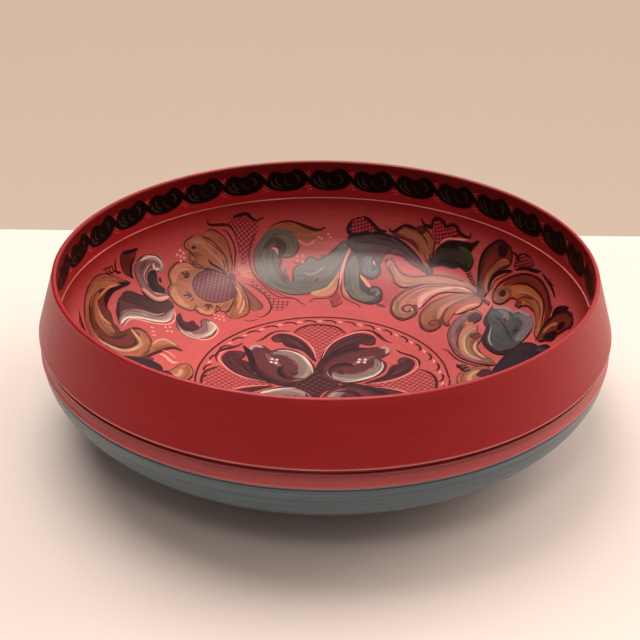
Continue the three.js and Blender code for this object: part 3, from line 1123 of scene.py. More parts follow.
def left_scroll(coat):
    """Large ochre C-scroll at the left with its curled core and tail leaf."""
    coat.patch([(-121, 70), (-142, 54), (-149, 40), (-146, 26), (-137, 13), (-122, 5), (-104, 9), (-99, 16),
        (-103, 36), (-108, 39), (-112, 37), (-118, 29), (-120, 32), (-123, 33), (-127, 40), (-130, 41),
        (-130, 54)], "dark_ochre", line=0.7)
    coat.stroke([(-123, 68), (-139, 55), (-144, 46), (-142, 28), (-131, 13), (-122, 9)], 8.5, "umber",
        "ochre", 0.5, 1.2, lines=(0.7, 0.6))
    coat.stroke([(-126, 9), (-117, 8), (-109, 11), (-102, 25), (-107, 36), (-111, 35)], 6.5, "dark_ochre",
        "ochre", 0.2, 0.9, lines=(0.6, 0.7))
    coat.stroke([(-140, 45), (-138, 37), (-134, 30), (-127, 25), (-121, 27)], (3.2, 9.5, 10), "dark_ochre",
        "ochre", 0.5, 1.1, lines=(0, 0.6))
    coat.stroke([(-141, 31), (-135, 22), (-119, 17), (-110, 26), (-114, 34)], 5.5, "umber", "dark_ochre",
        -0.2, 0.7)
    coat.line([(-143, 39), (-142, 31), (-132, 16), (-119, 14), (-109, 21), (-109, 30), (-112, 33)], 1.2)
    coat.line([(-134, 23), (-123, 20), (-118, 23), (-114, 30)], (0.4, 0.9, 2, 1.4))
    coat.stroke([(-129, 12), (-113, 13), (-105, 24), (-107, 29), (-113, 36)], 2.8, "ochre", "cream", 0, 0.65)
    coat.line([(-137, 40), (-132, 32), (-124, 31)], 1.8, "peach")
    coat.stroke([(-136, 50), (-136, 42), (-132, 37), (-128, 36)], (3.8, 7), "umber", "dark_ochre", 0.6, 0.8)
    coat.line([(-122, 69), (-128, 62), (-133, 47), (-130, 40)], 3, "black")
    coat.stroke([(-127, 64), (-134, 55), (-137, 46), (-138, 40)], 1.6, "ochre", "peach", 0, 0.8)
    coat.leaf([(-105, 11), (-100, 18), (-99, 26), (-91, 35), (-81, 26)], [(-104, 8.5), (-95, 20), (-86, 27),
        (-81, 26)], "umber", "ochre", 0.7, lines=(0.4, 0))
    coat.stroke([(-99, 26), (-96, 32), (-92, 34), (-85, 30)], 2.4, "ochre", "cream", 0, 0.8)
    coat.line([(-104, 9), (-87, 27), (-81, 25)], 2.4)
    coat.stroke([(-104, 7), (-96, 13)], (2.8, 6, 4), "umber", "dark_ochre", 0, 0.8, lines=(0.4, 0.4))
    coat.line([(-94, 19), (-91, 18), (-85, 12), (-82, 13)], 2, "pink")
    coat.line([(-93, 23), (-89, 22), (-84, 17)], 0.8, "pink")
    for x, y in ((-102.5, 43), (-101.5, 39.5), (-100.5, 36)):
        coat.line([(x, y), (x + 3, y + 0.4)], 1.4, "pink")
    coat.dots([(-93.5, 46.5), (-91, 47.5), (-92, 43), (-89.5, 43.5)], 1.9, "pink")


def left_purple(coat):
    """Aubergine scroll leaf with the grey crescent flower over it."""
    coat.patch([(-125, 54), (-121, 59), (-119, 63), (-106, 68), (-100, 67), (-95, 72), (-92, 69), (-91, 56),
        (-93, 52), (-99, 49), (-112, 47), (-119, 35)], "plum")
    coat.stroke([(-124, 55), (-117, 61), (-99, 62), (-95, 66), (-95, 71)], 9, "black", "aubergine", 0, 1.2)
    coat.stroke([(-124, 52), (-123, 45), (-119, 35)], (1.6, 3.2, 1.2), "black", "aubergine", 0.6, 0.8)
    coat.stroke([(-119, 35), (-119, 41), (-116, 48), (-109, 51), (-95, 54), (-91, 66)],
        (2, 6.5, 6.5, 5.5, 2), "plum", "grey_white", -0.7)
    coat.line([(-119, 36), (-117, 43), (-110, 48), (-94, 52), (-91, 57)], 1.2, "white")
    coat.line([(-116, 52), (-108, 55), (-100, 56), (-95, 60)], 0.7, "grey_white")
    coat.line([(-117, 34), (-116, 40), (-113, 45), (-92, 50), (-89, 56), (-90, 64)], 1.1, "pink")
    coat.line([(-113, 70), (-107, 67), (-100, 67), (-95, 73)], 2, "black")
    coat.patch([(-123, 84), (-118, 93), (-108, 97), (-103, 92), (-108, 88), (-111, 89), (-113, 80),
        (-105, 74), (-97, 77), (-95, 74), (-103, 68), (-120, 77)], "mauve")
    coat.stroke([(-118, 92), (-118, 80), (-108, 73)], 5.5, "plum", "mauve", -0.5)
    coat.stroke([(-106, 89), (-104, 91), (-106, 95), (-117, 92), (-120, 87)], 2.8, "mauve", "grey_white",
        -0.1, 0.8)
    coat.stroke([(-111, 92), (-109, 89), (-105, 91)], 1.9, "mauve", "white", 0, 0.8)
    coat.line([(-121, 86), (-117, 92), (-111, 96), (-106, 95), (-104, 92)], 0.8, "white")
    coat.line([(-113, 90), (-114, 85), (-114, 80), (-110, 76)], 0.7, "grey_white")
    coat.stroke([(-113, 72), (-102, 69), (-95, 75)], 3.2, "mauve", "pink")
    coat.line([(-105, 73), (-101, 74), (-98, 77)], 1, "pink")
    coat.patch([(-112, 83), (-108, 88), (-103, 80), (-100, 80), (-98, 77), (-100, 75), (-107, 75)], "navy")
    coat.stroke([(-107, 84), (-105, 80), (-101, 77)], (1.6, 3, 1.6), "navy", "aubergine")
    coat.line([(-104, 86), (-102, 82)], (0.9, 2.4, 0.7), "navy")
    coat.leaf([(-126.5, 91.5), (-137, 79), (-129, 72), (-120, 73.5)], [(-126.5, 90), (-125, 86), (-124, 77),
        (-120, 74)], "black", "umber", 0.1, lines=(0.5, 0))
    coat.line([(-126, 92), (-136, 80)], 2.2, "black")
    coat.line([(-126, 81), (-122, 74), (-120, 74)], 2, "black")
    coat.line([(-139, 73), (-137, 70), (-133, 68), (-130, 71)], 1.7)
    for x, y in ((-139, 68), (-141, 65), (-143, 62)):
        coat.line([(x, y), (x + 2, y - 1.6), (x + 4.4, y - 0.8), (x + 5.4, y + 1)], 1.2)
        coat.line([(x - 1.6, y - 3.6), (x - 0.6, y - 1.4), (x, y)], 0.9)
    for k in range(6):
        coat.line([(-148 + k * 1.9, 18 - k * 1.4), (-144.8 + k * 1.9, 13 - k * 1.2),
            (-143.6 + k * 1.9, 9 - k * 1.0)])


def small_crescent(coat):
    """Small dark bud held in a pale crescent."""
    coat.patch([(-88, 61), (-87, 49), (-77, 40), (-66, 45), (-65, 57), (-72, 61), (-74, 58), (-73, 55),
        (-74, 52), (-78, 50), (-82, 53)], "mauve")
    coat.stroke([(-86, 52), (-82, 46), (-76, 42), (-69, 46), (-68, 53), (-70, 59)], 5, "plum", "grey_white",
        -0.4)
    coat.stroke([(-71, 43), (-67, 48), (-65, 55), (-69, 60)], 2, "grey_white", "white", -0.2, 0.8)
    coat.line([(-76, 40), (-69, 40), (-65, 44), (-63, 51), (-65, 58)], 1, "pink")
    coat.patch([(-87, 63), (-88, 57), (-83, 47), (-78, 47), (-74, 52), (-77, 55), (-78, 58), (-80, 57),
        (-81, 55), (-84, 56)], "aubergine")
    coat.stroke([(-86, 59), (-85, 53), (-81, 50), (-78, 50)], 3.2, "black", "aubergine", 0.6, 0.9)


def ray(middle, degrees, reaches):
    """Chart places in one direction from a middle, at some reaches along X and Y."""
    angle = math.radians(degrees)
    return [(middle[0] + x * math.cos(angle), middle[1] + y * math.sin(angle)) for x, y in reaches]


def petal_marks(coat, x, y, turn):
    """Three short dark marks that fan out on a petal."""
    for spread, length in ((-30, 5.4), (0, 7), (30, 5.4)):
        reaches = [(far, far) for far in (0.8, length * 0.6, length)]
        coat.line(ray((x, y), turn + spread, reaches), 1.6, "aubergine")


def ochre_flower(coat):
    """Large ochre flower with a netted eye, lobed petals and long leaves above and at the right."""
    coat.patch([(-78, 104), (-94, 102), (-99, 91), (-96, 85), (-97, 80), (-91, 71), (-81, 67), (-78, 69),
        (-77, 67), (-69, 65), (-64, 72), (-62, 71), (-59, 72), (-56, 92), (-62, 103), (-70, 106)], "ochre",
        line=0.9)
    coat.stroke([(-84, 103), (-92, 99), (-95, 93), (-94, 86)], 5, "ochre", "peach", -0.2)
    coat.stroke([(-93, 84), (-92, 78), (-87, 72), (-82, 70)], 5, "ochre", "peach", -0.1)
    coat.stroke([(-77, 71), (-73, 68), (-69, 68), (-68, 72)], 3.2, "ochre", "peach")
    coat.line([(-79, 68), (-78, 74)], (1.1, 0.4))
    coat.line([(-66, 70), (-66, 77)], (1, 0.4))
    petal_marks(coat, -84.6, 95, 172)
    petal_marks(coat, -81.4, 82.6, 215)
    petal_marks(coat, -70.6, 77.6, 268)
    coat.line([(-80, 80), (-82, 75)], (0.4, 1, 0.5), "aubergine")
    coat.leaf([(-60, 107), (-60, 115), (-67, 128), (-78, 131), (-82, 129), (-82.5, 126)], [(-61, 107),
        (-62, 113), (-70, 122), (-82, 125)], "umber", "ochre", -0.3, 1.2, lines=(0.8, 0))
    coat.line([(-58, 109), (-60, 125), (-68, 133), (-72, 133)], 1.1)
    coat.line([(-85, 136), (-83, 133), (-67, 137), (-59, 129), (-56, 121)], (1.1, 2.2, 0.7, 0.4))
    coat.patch([(-62, 106), (-66, 118), (-77, 124), (-90, 122), (-95, 114), (-93, 112), (-89, 112),
        (-89, 108), (-85, 104), (-83, 106), (-78, 105), (-72, 106)], "ochre", line=0.7)
    coat.stroke([(-92, 115), (-90, 119), (-84, 121), (-69, 116), (-65, 110)], 5.5, "dark_ochre", "peach",
        -0.6, 1.2)
    coat.stroke([(-88, 106), (-88, 110), (-80, 113)], 2.4, "dark_ochre", "olive_tan", 0, 0.9)
    coat.line([(-90, 112), (-84, 109), (-83, 106)], (0.8, 0.6))
    coat.line([(-77, 122), (-70, 120), (-66, 114), (-64, 108)], 0.7, "umber")
    coat.line([(-76, 112), (-74, 110), (-65, 107), (-62, 104)], 1.8)
    coat.dots([(-87.5, 115)], 3.2, "aubergine")
    coat.dots([(-85, 106)], 2.2, "umber")
    coat.leaf([(-55, 101.5), (-44, 90), (-38, 79), (-43, 74.5)], [(-56, 100.5), (-51, 94), (-47, 81),
        (-47, 77), (-45, 75)], "plum", "tan", 0.3, 0.9, lines=(0.7, 0))
    coat.leaf([(-56.5, 102), (-52, 97), (-47, 84), (-47, 71), (-54, 64.5)], [(-57.5, 101), (-55, 96),
        (-58, 75), (-60, 70), (-59, 67), (-56.5, 65)], "dark_ochre", "ochre", 0.3, 1.2, lines=(0.8, 0.6))
    coat.stroke([(-56, 97), (-53, 90), (-53, 75)], (0.9, 2.8, 1.3), "ochre", "peach", 0, 0.9)
    coat.line([(-50, 85), (-50, 79), (-52, 70)], 1.2, "cream")
    coat.line([(-52, 94), (-48, 78), (-50, 72)], (0.3, 0.7, 0.3), "umber")
    coat.stroke([(-58, 84), (-62, 73)], (1.3, 3.8), "dark_ochre", "ochre", 0, 0.9)
    coat.line([(-56, 82), (-59, 71), (-61, 70)], 0.9)
    coat.line([(-66, 77), (-63, 72)], (0.4, 2.4, 0.9), "umber")
    eye = arc((0, 0), 1, 0, 360, 12)[:-1] * (13.2, 13.4) + (-69.3, 92)
    coat.patch(eye, "eye", line=0.8)
    coat.hatch(eye, 2.45, (88,), 1, "eye_dark")
    coat.hatch(eye, 2.3, (-3,), 0.7, "eye_dark")
    coat.stroke([(-60, 103), (-56, 91), (-58, 84)], 2.2, "aubergine", "plum", 0.4, 0.8)
    coat.dots([(-59, 104)], 4.4, "plum")
    coat.line([(-61, 106), (-58, 106), (-57, 103), (-57, 100)], 1, "aubergine")
    coat.line([(-52, 101), (-46, 99), (-37, 91), (-33, 79), (-37, 70), (-40, 69), (-42, 70)], 1.1)
    coat.line([(-40, 67), (-45, 64), (-49, 65)], 0.9, "umber")
    for k in range(8):
        coat.line(ray((-57, 107), -8 + 13 * k, ((3, 2.4), (8, 6), (13, 9))), 0.8, "peach")
    coat.dots([(-96, 109), (-93.2, 108.6), (-97, 105.6), (-94.4, 105.8), (-91.8, 106), (-93.4, 103)], 2.3,
        "pink")
    coat.dots([(-66.5, 67), (-64, 66.5), (-61.5, 66), (-65.5, 63.5), (-63, 63), (-60.5, 62.5)], 1.6, "pink")


def flower_nets(coat):
    """Crossed lines that fill the ground beside the flower."""
    coat.hatch([(-70, 138), (-68, 143), (-48, 146), (-53, 113), (-58, 126), (-64, 134)], 2.4, (52, -36), 0.6)
    coat.stroke([(-67, 143), (-57, 148), (-53, 146), (-50, 146)], 2.4, "black")
    coat.line([(-54, 147), (-50, 145), (-44, 149)], 1.2)
    coat.hatch([(-47, 108), (-33, 92), (-27, 89), (-21, 88), (-26, 77), (-32, 77), (-33, 82), (-40, 95),
        (-46, 99)], 2.9, (88, 2), 0.6)


def grey_scroll(coat):
    """Large grey-green scroll at the back, curled at its left end, with an ochre leaf over it."""
    coat.line([(-45, 141), (-48, 137), (-50, 124), (-45, 109), (-25, 92), (-20, 91)], 1.1, "rosewood")
    coat.line([(-47, 110), (-29, 91), (-19, 90), (-15, 86), (-11, 83)], 1.1, "rosewood")
    coat.leaf([(-42, 138), (-38, 143), (-24, 148), (-4, 145), (0, 147)], [(-42, 138), (-36, 141), (-25, 142),
        (-15, 138), (-8, 139), (0, 147)], "dark_ochre", "ochre", -0.2, 1.6)
    coat.stroke([(-38, 141), (-30, 145), (-12, 142)], 2.6, "ochre", "olive_tan", 0, 1.2)
    coat.line([(-40, 142), (-33, 147), (-25, 149), (-5, 145), (0, 147)], (0.3, 1.1, 1.5, 2.6, 0.9))
    coat.line([(-19, 138), (-14, 135), (-10, 136), (-7, 139)], 1.9, "peach")
    coat.patch([(-31, 124), (-25, 125), (-20, 128), (-18, 134), (-25, 142), (-37, 140), (-45, 131),
        (-46, 117), (-39, 105), (-21, 94), (0, 102), (15, 134), (12, 137), (-5, 125), (-9, 127), (-12, 126),
        (-14, 122), (-20, 118), (-21, 105), (-24, 107)], "sage", line=0.9)
    coat.stroke([(-21, 130), (-20, 135), (-25, 140), (-38, 137), (-43, 122), (-35, 105), (-18, 97),
        (-9, 99)], 7, "taupe", "sage", -0.55, 1.3)
    coat.stroke([(-24, 130), (-24, 135), (-28, 138), (-34, 136), (-39, 130), (-39, 122), (-38, 115)], 3.8,
        "taupe", "olive", -0.2)
    coat.stroke([(-36, 127), (-37, 119), (-33, 110), (-26, 104), (-16, 102), (-7, 104)], 7.5, "taupe",
        "verdigris", 0.1, 1.2)
    coat.stroke([(-20, 110), (-14, 109), (-5, 110), (3, 116), (13, 132)], 9, "taupe", "mauve_grey", 0.3, 1.1)
    coat.stroke([(-18, 116), (-12, 120), (-4, 120), (13, 135)], (4, 8.5, 4.5, 1.3), "verdigris", "sage", 0.2,
        1.1)
    coat.line([(-14, 115), (-10, 113), (0, 120)], 1.9, "pale_grey")
    coat.line([(-4, 111), (-7, 106)], 1.2, "charcoal")
    coat.line([(-22, 122), (-13, 121)], (0.4, 0.7), "charcoal")
    coat.stroke([(-41, 128), (-38, 133), (-33, 136), (-28, 134), (-26, 130)], 3.4, "taupe", "charcoal", 0,
        0.8)
    coat.stroke([(-34, 131), (-31, 133), (-28, 132), (-31, 125)], 4.5, "aubergine", "charcoal", 0.2, 0.9)
    coat.stroke([(-35, 127), (-32, 116), (-24, 104)], 2.4, "plum", "taupe", 0, 0.9)
    coat.line([(-32, 125), (-29, 123), (-30, 117)], 2, "aubergine")
    coat.line([(-36, 130), (-33, 130), (-31, 126)], (0.5, 2.4, 0.8), "pink")
    coat.line([(-25, 118), (-26, 116), (-23, 106)], 1.9, "taupe")
    coat.line([(-5, 129), (-3, 128), (2, 129), (11, 137), (17, 137)], 1.4, "rosewood")
    coat.dots([(-18.5, 126.5), (-15, 127.5), (-18.5, 123.5), (-15, 123)], 2.2, "peach")
    coat.dots([(-5, 140.5), (-3, 139.5), (1.5, 142.5), (3, 140.5)], 1.6, "pink")


def tulip(coat):
    """Slim peach tulip that parts the two grey scrolls."""
    coat.line([(16, 134), (11, 119), (9, 104)], 2, "pink")
    coat.leaf([(8.5, 116), (0, 102), (-9, 97)], [(9, 116), (6, 99), (1, 94), (-4, 93), (-9, 94.5)], "peach",
        "cream", 0.4)
    coat.stroke([(8, 111), (5, 103), (1, 98), (-5, 95)], 2.6, "ochre", "peach", -0.2, 0.9)
    coat.leaf([(10, 113), (11, 97), (14, 92), (19.5, 88)], [(11.5, 113), (12, 104), (17, 93), (20.5, 90)],
        "ochre", "peach", 0.2, 0.8)
    coat.line([(9, 112), (6, 96), (2, 92), (-8, 90), (-10, 86)], 1.1, "rosewood")
    coat.line([(10, 110), (11, 93), (21, 83), (21, 79)], 1, "rosewood")
    coat.hatch([(7, 98), (10, 89), (5, 82), (3, 90)], 1.9, (62, -62), 0.5)
    coat.line([(2, 91), (4, 87), (5, 82), (11, 88)], 1, "rosewood")


def netted_cap(coat, outline, gap, turns, width=0.6, colour="black"):
    """Red cap under crossed dark lines."""
    coat.patch(outline, "deep_red")
    coat.hatch(outline, gap, turns, width, colour)


def arch_scroll(coat):
    """Grey scroll that hangs right of the tulip from a dark arch with a netted cap."""
    coat.hatch([(36, 120), (40, 115), (45, 101), (47, 98), (43, 92), (39, 82), (35, 83), (35, 99), (30, 103),
        (28, 102), (24, 110), (30, 109), (34, 112)], 1.75, (68, -22), 0.45, "net_pink")
    coat.line([(22, 113), (28, 101)], 2.2, "pink")
    coat.patch([(17, 130), (12, 104), (18, 90), (29, 85), (33, 88), (34, 98), (30, 101), (27, 100),
        (21, 114), (27, 109), (31, 109), (35, 113), (34, 123), (34, 130)], "slate", line=0.8)
    coat.stroke([(19, 128), (17, 118), (18, 97), (24, 91), (31, 91)], 9, "taupe", "sage", 0.1, 1.2)
    coat.stroke([(15, 124), (14, 103), (18, 94), (22, 89)], 2.8, "slate", "verdigris")
    coat.stroke([(27, 127), (27, 114), (31, 113), (33, 116)], (6, 7.5, 3.2), "slate", "mauve_grey", 0.2, 1.1)
    coat.line([(23, 127), (23, 115), (27, 111), (31, 109)], 1, "charcoal")
    coat.line([(32, 125), (31, 121), (32, 119)], 1.2, "pink")
    coat.stroke([(18, 96), (22, 93), (27, 93)], (1, 2.4, 2), "olive", "sage", 0, 0.9)
    coat.stroke([(31, 92), (33, 96), (31, 99), (28, 98), (28, 95)], 3, "charcoal", "mauve_grey", 0.3, 0.9)
    coat.line([(27, 100), (27, 97), (28, 95), (30, 94)], 1.2)
    coat.line([(24, 103), (25, 101)], 1.2, "leaf_green")
    coat.line([(13, 100), (16, 92), (28, 85), (34, 88), (34, 99), (30, 102), (28, 100)], 1.5)
    coat.line([(31, 85), (37, 81)], (0.6, 2.2, 0.6), "plum")
    coat.patch([(14, 139), (17, 142), (40, 139), (53, 129), (64, 110), (63, 108), (57, 118), (47, 126),
        (38, 126), (36, 121), (33, 121), (31, 124), (31, 128), (25, 130), (19, 130)], "charcoal")
    coat.stroke([(17, 136), (24, 138), (42, 133), (56, 120), (61, 111)], 5.5, "black", "charcoal", 0.1, 1.1)
    coat.stroke([(20, 133), (28, 133), (45, 128), (52, 124)], 4, "charcoal", "taupe", -0.2)
    coat.stroke([(24, 130), (36, 127), (37, 123)], 4.5, "charcoal", "plum", 0.2)
    coat.line([(36, 121), (39, 127), (44, 129), (50, 127), (59, 115), (61, 109)], 1.1, "rosewood")
    coat.line([(42, 126), (48, 124), (58, 113)], 1, "rosewood")
    coat.line([(15, 139), (18, 141), (34, 141), (49, 134), (60, 120), (63, 112)], (1.6, 2.6, 1.4, 1.5, 0.7),
        "black")
    coat.dots([(66, 108)], 5.2, "aubergine")
    coat.line([(66, 113), (66, 106)], (0.7, 1.6, 1.2), "charcoal")
    netted_cap(coat, [(15, 142), (19, 151), (29, 151.5), (35, 143)], 2.3, (85, 8))
    coat.line([(19, 152), (15, 145), (17, 142), (31, 142)], 2.6, "black")
    coat.line([(26, 153), (30, 150), (37, 142), (42, 141)], 2.4, "black")


def small_leaves(coat):
    """Ochre leaf, dark green leaf and a netted cap at the right of the arch."""
    coat.patch([(66, 113), (63, 120), (56, 131), (45, 139), (57, 140), (62, 138), (64, 139), (68, 138),
        (72, 130), (68, 118)], "dark_ochre", line=0.5)
    coat.stroke([(66, 116), (62, 132), (55, 137), (49, 139)], 6, "dark_ochre", "ochre", -0.2, 1.4)
    coat.stroke([(67, 119), (70, 126), (69, 132), (66, 135)], 3.4, "dark_ochre", "ochre", 0.3, 1.4)
    coat.line([(61, 131), (65, 117)], 0.8, "umber")
    coat.line([(63, 138), (64, 135), (67, 134), (69, 136), (67, 137)], 1.3)
    coat.line([(43, 143), (45, 140), (55, 142), (63, 138)], 1.8, "black")
    coat.line([(68, 144), (69, 139), (75, 134), (68, 115)], (0.7, 2.6, 0.8, 0.9, 0.3), "black")
    cap = [(74, 134), (79, 140), (83, 137), (84, 133), (88, 133), (93, 124), (81, 125), (74, 125)]
    netted_cap(coat, cap, 2.3, (75, -12))
    coat.line([(73, 135), (76, 139), (79, 140), (83, 137), (85, 132), (88, 132), (92, 130), (93, 124),
        (99, 119), (101, 121)], 2.4, "black")
    coat.line([(76, 124), (82, 125), (97, 118)], 1.1, "pink")
    coat.patch([(66, 112), (73, 121), (80, 123), (98, 115), (104, 114), (94, 109), (96, 105), (90, 99),
        (85, 105), (82, 105), (74, 110)], "dark_green")
    coat.stroke([(69, 113), (75, 117), (88, 110), (91, 103)], 7.5, "black", "bronze", 0.3, 1.1)
    coat.stroke([(88, 117), (92, 113), (94, 107), (91, 101)], 4, "black", "leaf_green")
    coat.line([(76, 123), (84, 122), (102, 113), (105, 114)], 2.2, "black")
    for k in range(6):
        coat.line([(88.4 + 0.5 * k, 98.6 - 2 * k), (90.2 + 0.5 * k, 97.2 - 2 * k),
            (92.6 + 0.3 * k, 98 - 2 * k)], 1.1)


def tan_plumes(coat):
    """Fan of four tan plumes bound at one stem."""
    coat.patch([(39, 120), (43, 123), (46, 114), (56, 106), (64, 105), (80, 99), (86, 93), (95, 77),
        (88, 86), (72, 96), (62, 99), (47, 99), (42, 110)], "rosy_tan")
    coat.stroke([(41, 120), (48, 105), (68, 101), (79, 96), (87, 89), (94, 80)], 5.5, "tan", "rosy_tan", 0.3,
        1.1)
    coat.line([(39, 118), (38, 122), (42, 122), (48, 111), (53, 107), (72, 103), (88, 91), (95, 76)], 1.4,
        "rosewood")
    coat.line([(41, 119), (41, 114), (43, 108), (43, 105), (48, 99), (54, 98)], 1.3, "rosewood")
    coat.patch([(95, 78), (89, 87), (70, 97), (51, 97), (41, 86), (42, 72), (50, 68), (55, 76), (53, 80),
        (56, 80), (57, 77), (65, 86), (72, 89), (89, 83)], "rosy_tan")
    coat.stroke([(94, 80), (87, 88), (64, 95), (54, 92), (47, 85), (46, 76), (49, 71)], 8, "tan", "rosy_tan",
        -0.3, 1.2)
    coat.stroke([(90, 84), (80, 91), (60, 88), (57, 77)], (0.8, 1.9, 3, 5.5, 1.8), "rosy_tan", "pink")
    coat.stroke([(44, 88), (44, 73), (48, 71), (53, 73), (53, 77), (51, 80)], 2.2, "tan", "olive", 0, 0.9)
    coat.line([(95, 78), (88, 87), (80, 93), (60, 98), (45, 91), (40, 77), (46, 67), (55, 73), (52, 81),
        (48, 80), (47, 77), (50, 74), (52, 76), (51, 78)], (0.7, 1.1, 1.9, 1.7), "rosewood")
    coat.line([(94, 80), (86, 89), (62, 96), (53, 93), (46, 86), (44, 78)], 0.8, "rosewood")
    coat.line([(53, 74), (52, 79)], 1, "cream")
    coat.patch([(95, 79), (80, 85), (65, 81), (57, 69), (58, 55.5), (67, 55), (68, 59), (68, 62), (70, 64),
        (70, 70), (80, 78)], "tan")
    coat.stroke([(92, 80), (83, 83), (73, 80), (65, 74), (61, 66), (62, 59)], (0.4, 7.5, 8.5), "tan",
        "olive_tan", -0.3, 1.2)
    coat.stroke([(90, 79), (80, 79), (72, 75), (67, 64)], 3.6, "olive_tan", "rosy_tan", 0.2)
    coat.line([(95, 79), (80, 85), (65, 81), (57, 69), (59, 55), (63, 53), (69, 59), (67, 63), (64, 63),
        (62, 61), (64, 58), (66, 60)], (0.6, 1.4, 1.5), "rosewood")
    coat.patch([(95, 78), (78, 77), (71, 67), (72, 57), (74, 57), (73, 61), (77, 69), (80, 67), (84, 68),
        (94, 71)], "coral_light")
    coat.stroke([(93, 75), (85, 75), (79, 73), (74, 67), (73, 61)], 5, "tan", "coral_light", 0.4, 1.1)
    coat.stroke([(94, 71), (86, 72), (78, 67)], 3, "coral_light", "peach")
    coat.line([(84, 78), (76, 75), (70, 63), (73, 56)], (0.3, 0.8, 1.8, 2), "rosewood")
    coat.line([(90, 80), (79, 71), (77, 67)], 0.6, "tan")
    for k in range(6):
        coat.line([(91 + 1.2 * k, 81.6 - 1.9 * k), (93 + 1.2 * k, 80.4 - 1.9 * k),
            (94.6 + 0.9 * k, 78.6 - 1.9 * k)], 1.1, "rosewood")
        coat.line([(93.4 + k, 82 - 1.9 * k), (93.2 + 1.1 * k, 79.6 - 1.9 * k),
            (92.6 + 1.1 * k, 77.4 - 1.8 * k)], 0.8, "plum")
    coat.line([(93, 86), (99, 69)], (0.4, 1.5, 0.6), "rosewood")


def right_scroll(coat):
    """Mauve C-scroll with cream, brown and ochre bands inside it."""
    coat.line([(67, 34), (70, 32), (76, 20), (88, 11), (95, 10)], 1.6, "rosewood")
    coat.patch([(94, 62), (88, 68), (78, 61), (72, 48), (76, 24), (88, 13), (96, 10), (91, 18), (87, 30),
        (91, 40), (89, 47), (90, 51), (88, 55)], "ochre")
    coat.stroke([(92, 58), (90, 63), (84, 63), (78, 56), (75, 38), (81, 21), (87, 15), (95, 11)],
        (3.8, 7, 5, 4, 1.3), "aubergine", "mauve", -0.1, 0.9, lines=(0.5, 0))
    coat.stroke([(84, 56), (80, 51), (77, 35), (79, 26)], 1.8, "aubergine", "plum", 0, 0.9)
    coat.dots([(89, 60.5)], 8.4, "aubergine")
    coat.line([(86, 56), (85, 60), (87, 64), (91, 64)], 0.9, "plum")
    coat.stroke([(90, 53), (85, 51), (81, 45), (80, 28), (84, 21), (89, 16)], 4.5, "ochre", "rosy_tan", 0,
        0.8)
    coat.stroke([(90, 50), (86, 49), (82, 44), (81, 28), (88, 16)], 2.8, "ochre", "cream", 0, 0.7)
    coat.line([(89, 47), (85, 46), (82, 32), (84, 24), (88, 19)], 1.8, "olive")
    coat.stroke([(89, 41), (86, 36), (88, 22), (93, 16)], 4.5, "dark_ochre", "tan", -0.3)
    coat.line([(88, 37), (86, 31), (87, 25), (91, 18)], 1.7, "cream")
    coat.dots([(88, 42)], 5.6, "umber")
    coat.line([(85, 40), (85, 44), (89, 45), (91, 43)], 1.1, "rosewood")
    coat.stroke([(92, 20), (93, 16), (95, 13)], (1, 3, 2), "olive", "tan")


def grey_flower(coat):
    """Grey-blue three-lobed flower with a twig drawn in it, and the dark flower below it."""
    coat.patch([(90, -4), (100, 13), (108, 22), (117, 21), (120, 17), (126, 14), (127, 3), (102, -10)],
        "navy")
    coat.stroke([(96, 3), (107, 15), (112, 19)], (3.4, 9.5, 6.5), "black", "navy", 0.2, 1.1)
    coat.stroke([(119, 14), (122, 13), (124, 8)], (2.2, 4, 3), "navy", "slate")
    coat.line([(92, 2), (107, 22), (113, 24), (118, 21), (121, 17)], 2.2, "black")
    coat.patch([(100, 64), (111, 57), (110, 55), (114, 54), (121, 46), (120, 34), (112, 26), (109, 23),
        (98, 23), (94, 27), (93, 39), (97, 48), (95, 53)], "slate")
    coat.stroke([(98, 60), (100, 54), (103, 50)], (5, 7), "dark_slate", "slate", 0.2, 1.1)
    coat.stroke([(104, 61), (107, 57), (108, 50)], (2.2, 4.5, 4), "slate", "mauve_grey", 0.2, 1.1)
    coat.stroke([(112, 52), (117, 48), (119, 40), (110, 28)], (1.9, 7.5, 6), "slate", "mauve_grey", 0.5, 1.1)
    coat.stroke([(96, 44), (97, 30), (103, 25)], (1.9, 5.5, 5.5), "dark_slate", "slate", -0.3, 1.1)
    coat.stroke([(102, 44), (103, 37), (105, 31)], (4, 8, 6), "dark_slate", "slate", 0.2)
    coat.line([(98, 49), (95, 36), (96, 29)], (0.5, 1.2, 0.9), "pale_grey")
    coat.line([(101, 65), (109, 60), (111, 56)], 1.7, "pale_grey")
    coat.line([(111, 54), (115, 54), (122, 45)], 1.6, "pale_grey")
    coat.line([(101, 67), (95, 55), (96, 49), (92, 36), (98, 22), (104, 20), (111, 25)], 2.8, "black")
    coat.patch([(102, 55), (105, 52), (107, 51), (105, 47), (102, 48)], "charcoal")
    coat.line([(101, 57), (105, 47), (108, 29)], (0.8, 1.4, 0.6), "black")
    for k in range(3):
        coat.line([(107.6 + 0.2 * k, 39.4 - 2 * k), (110.4, 39.8 - 1.6 * k),
            (113 + 0.4 * k, 41.6 - 1.6 * k)], 1.1, "black")
        coat.line([(104.8 + 0.4 * k, 49.4 + k), (106.4 + 0.6 * k, 50.8 + 0.6 * k), (107 + 0.6 * k, 52.6)],
            0.9, "black")


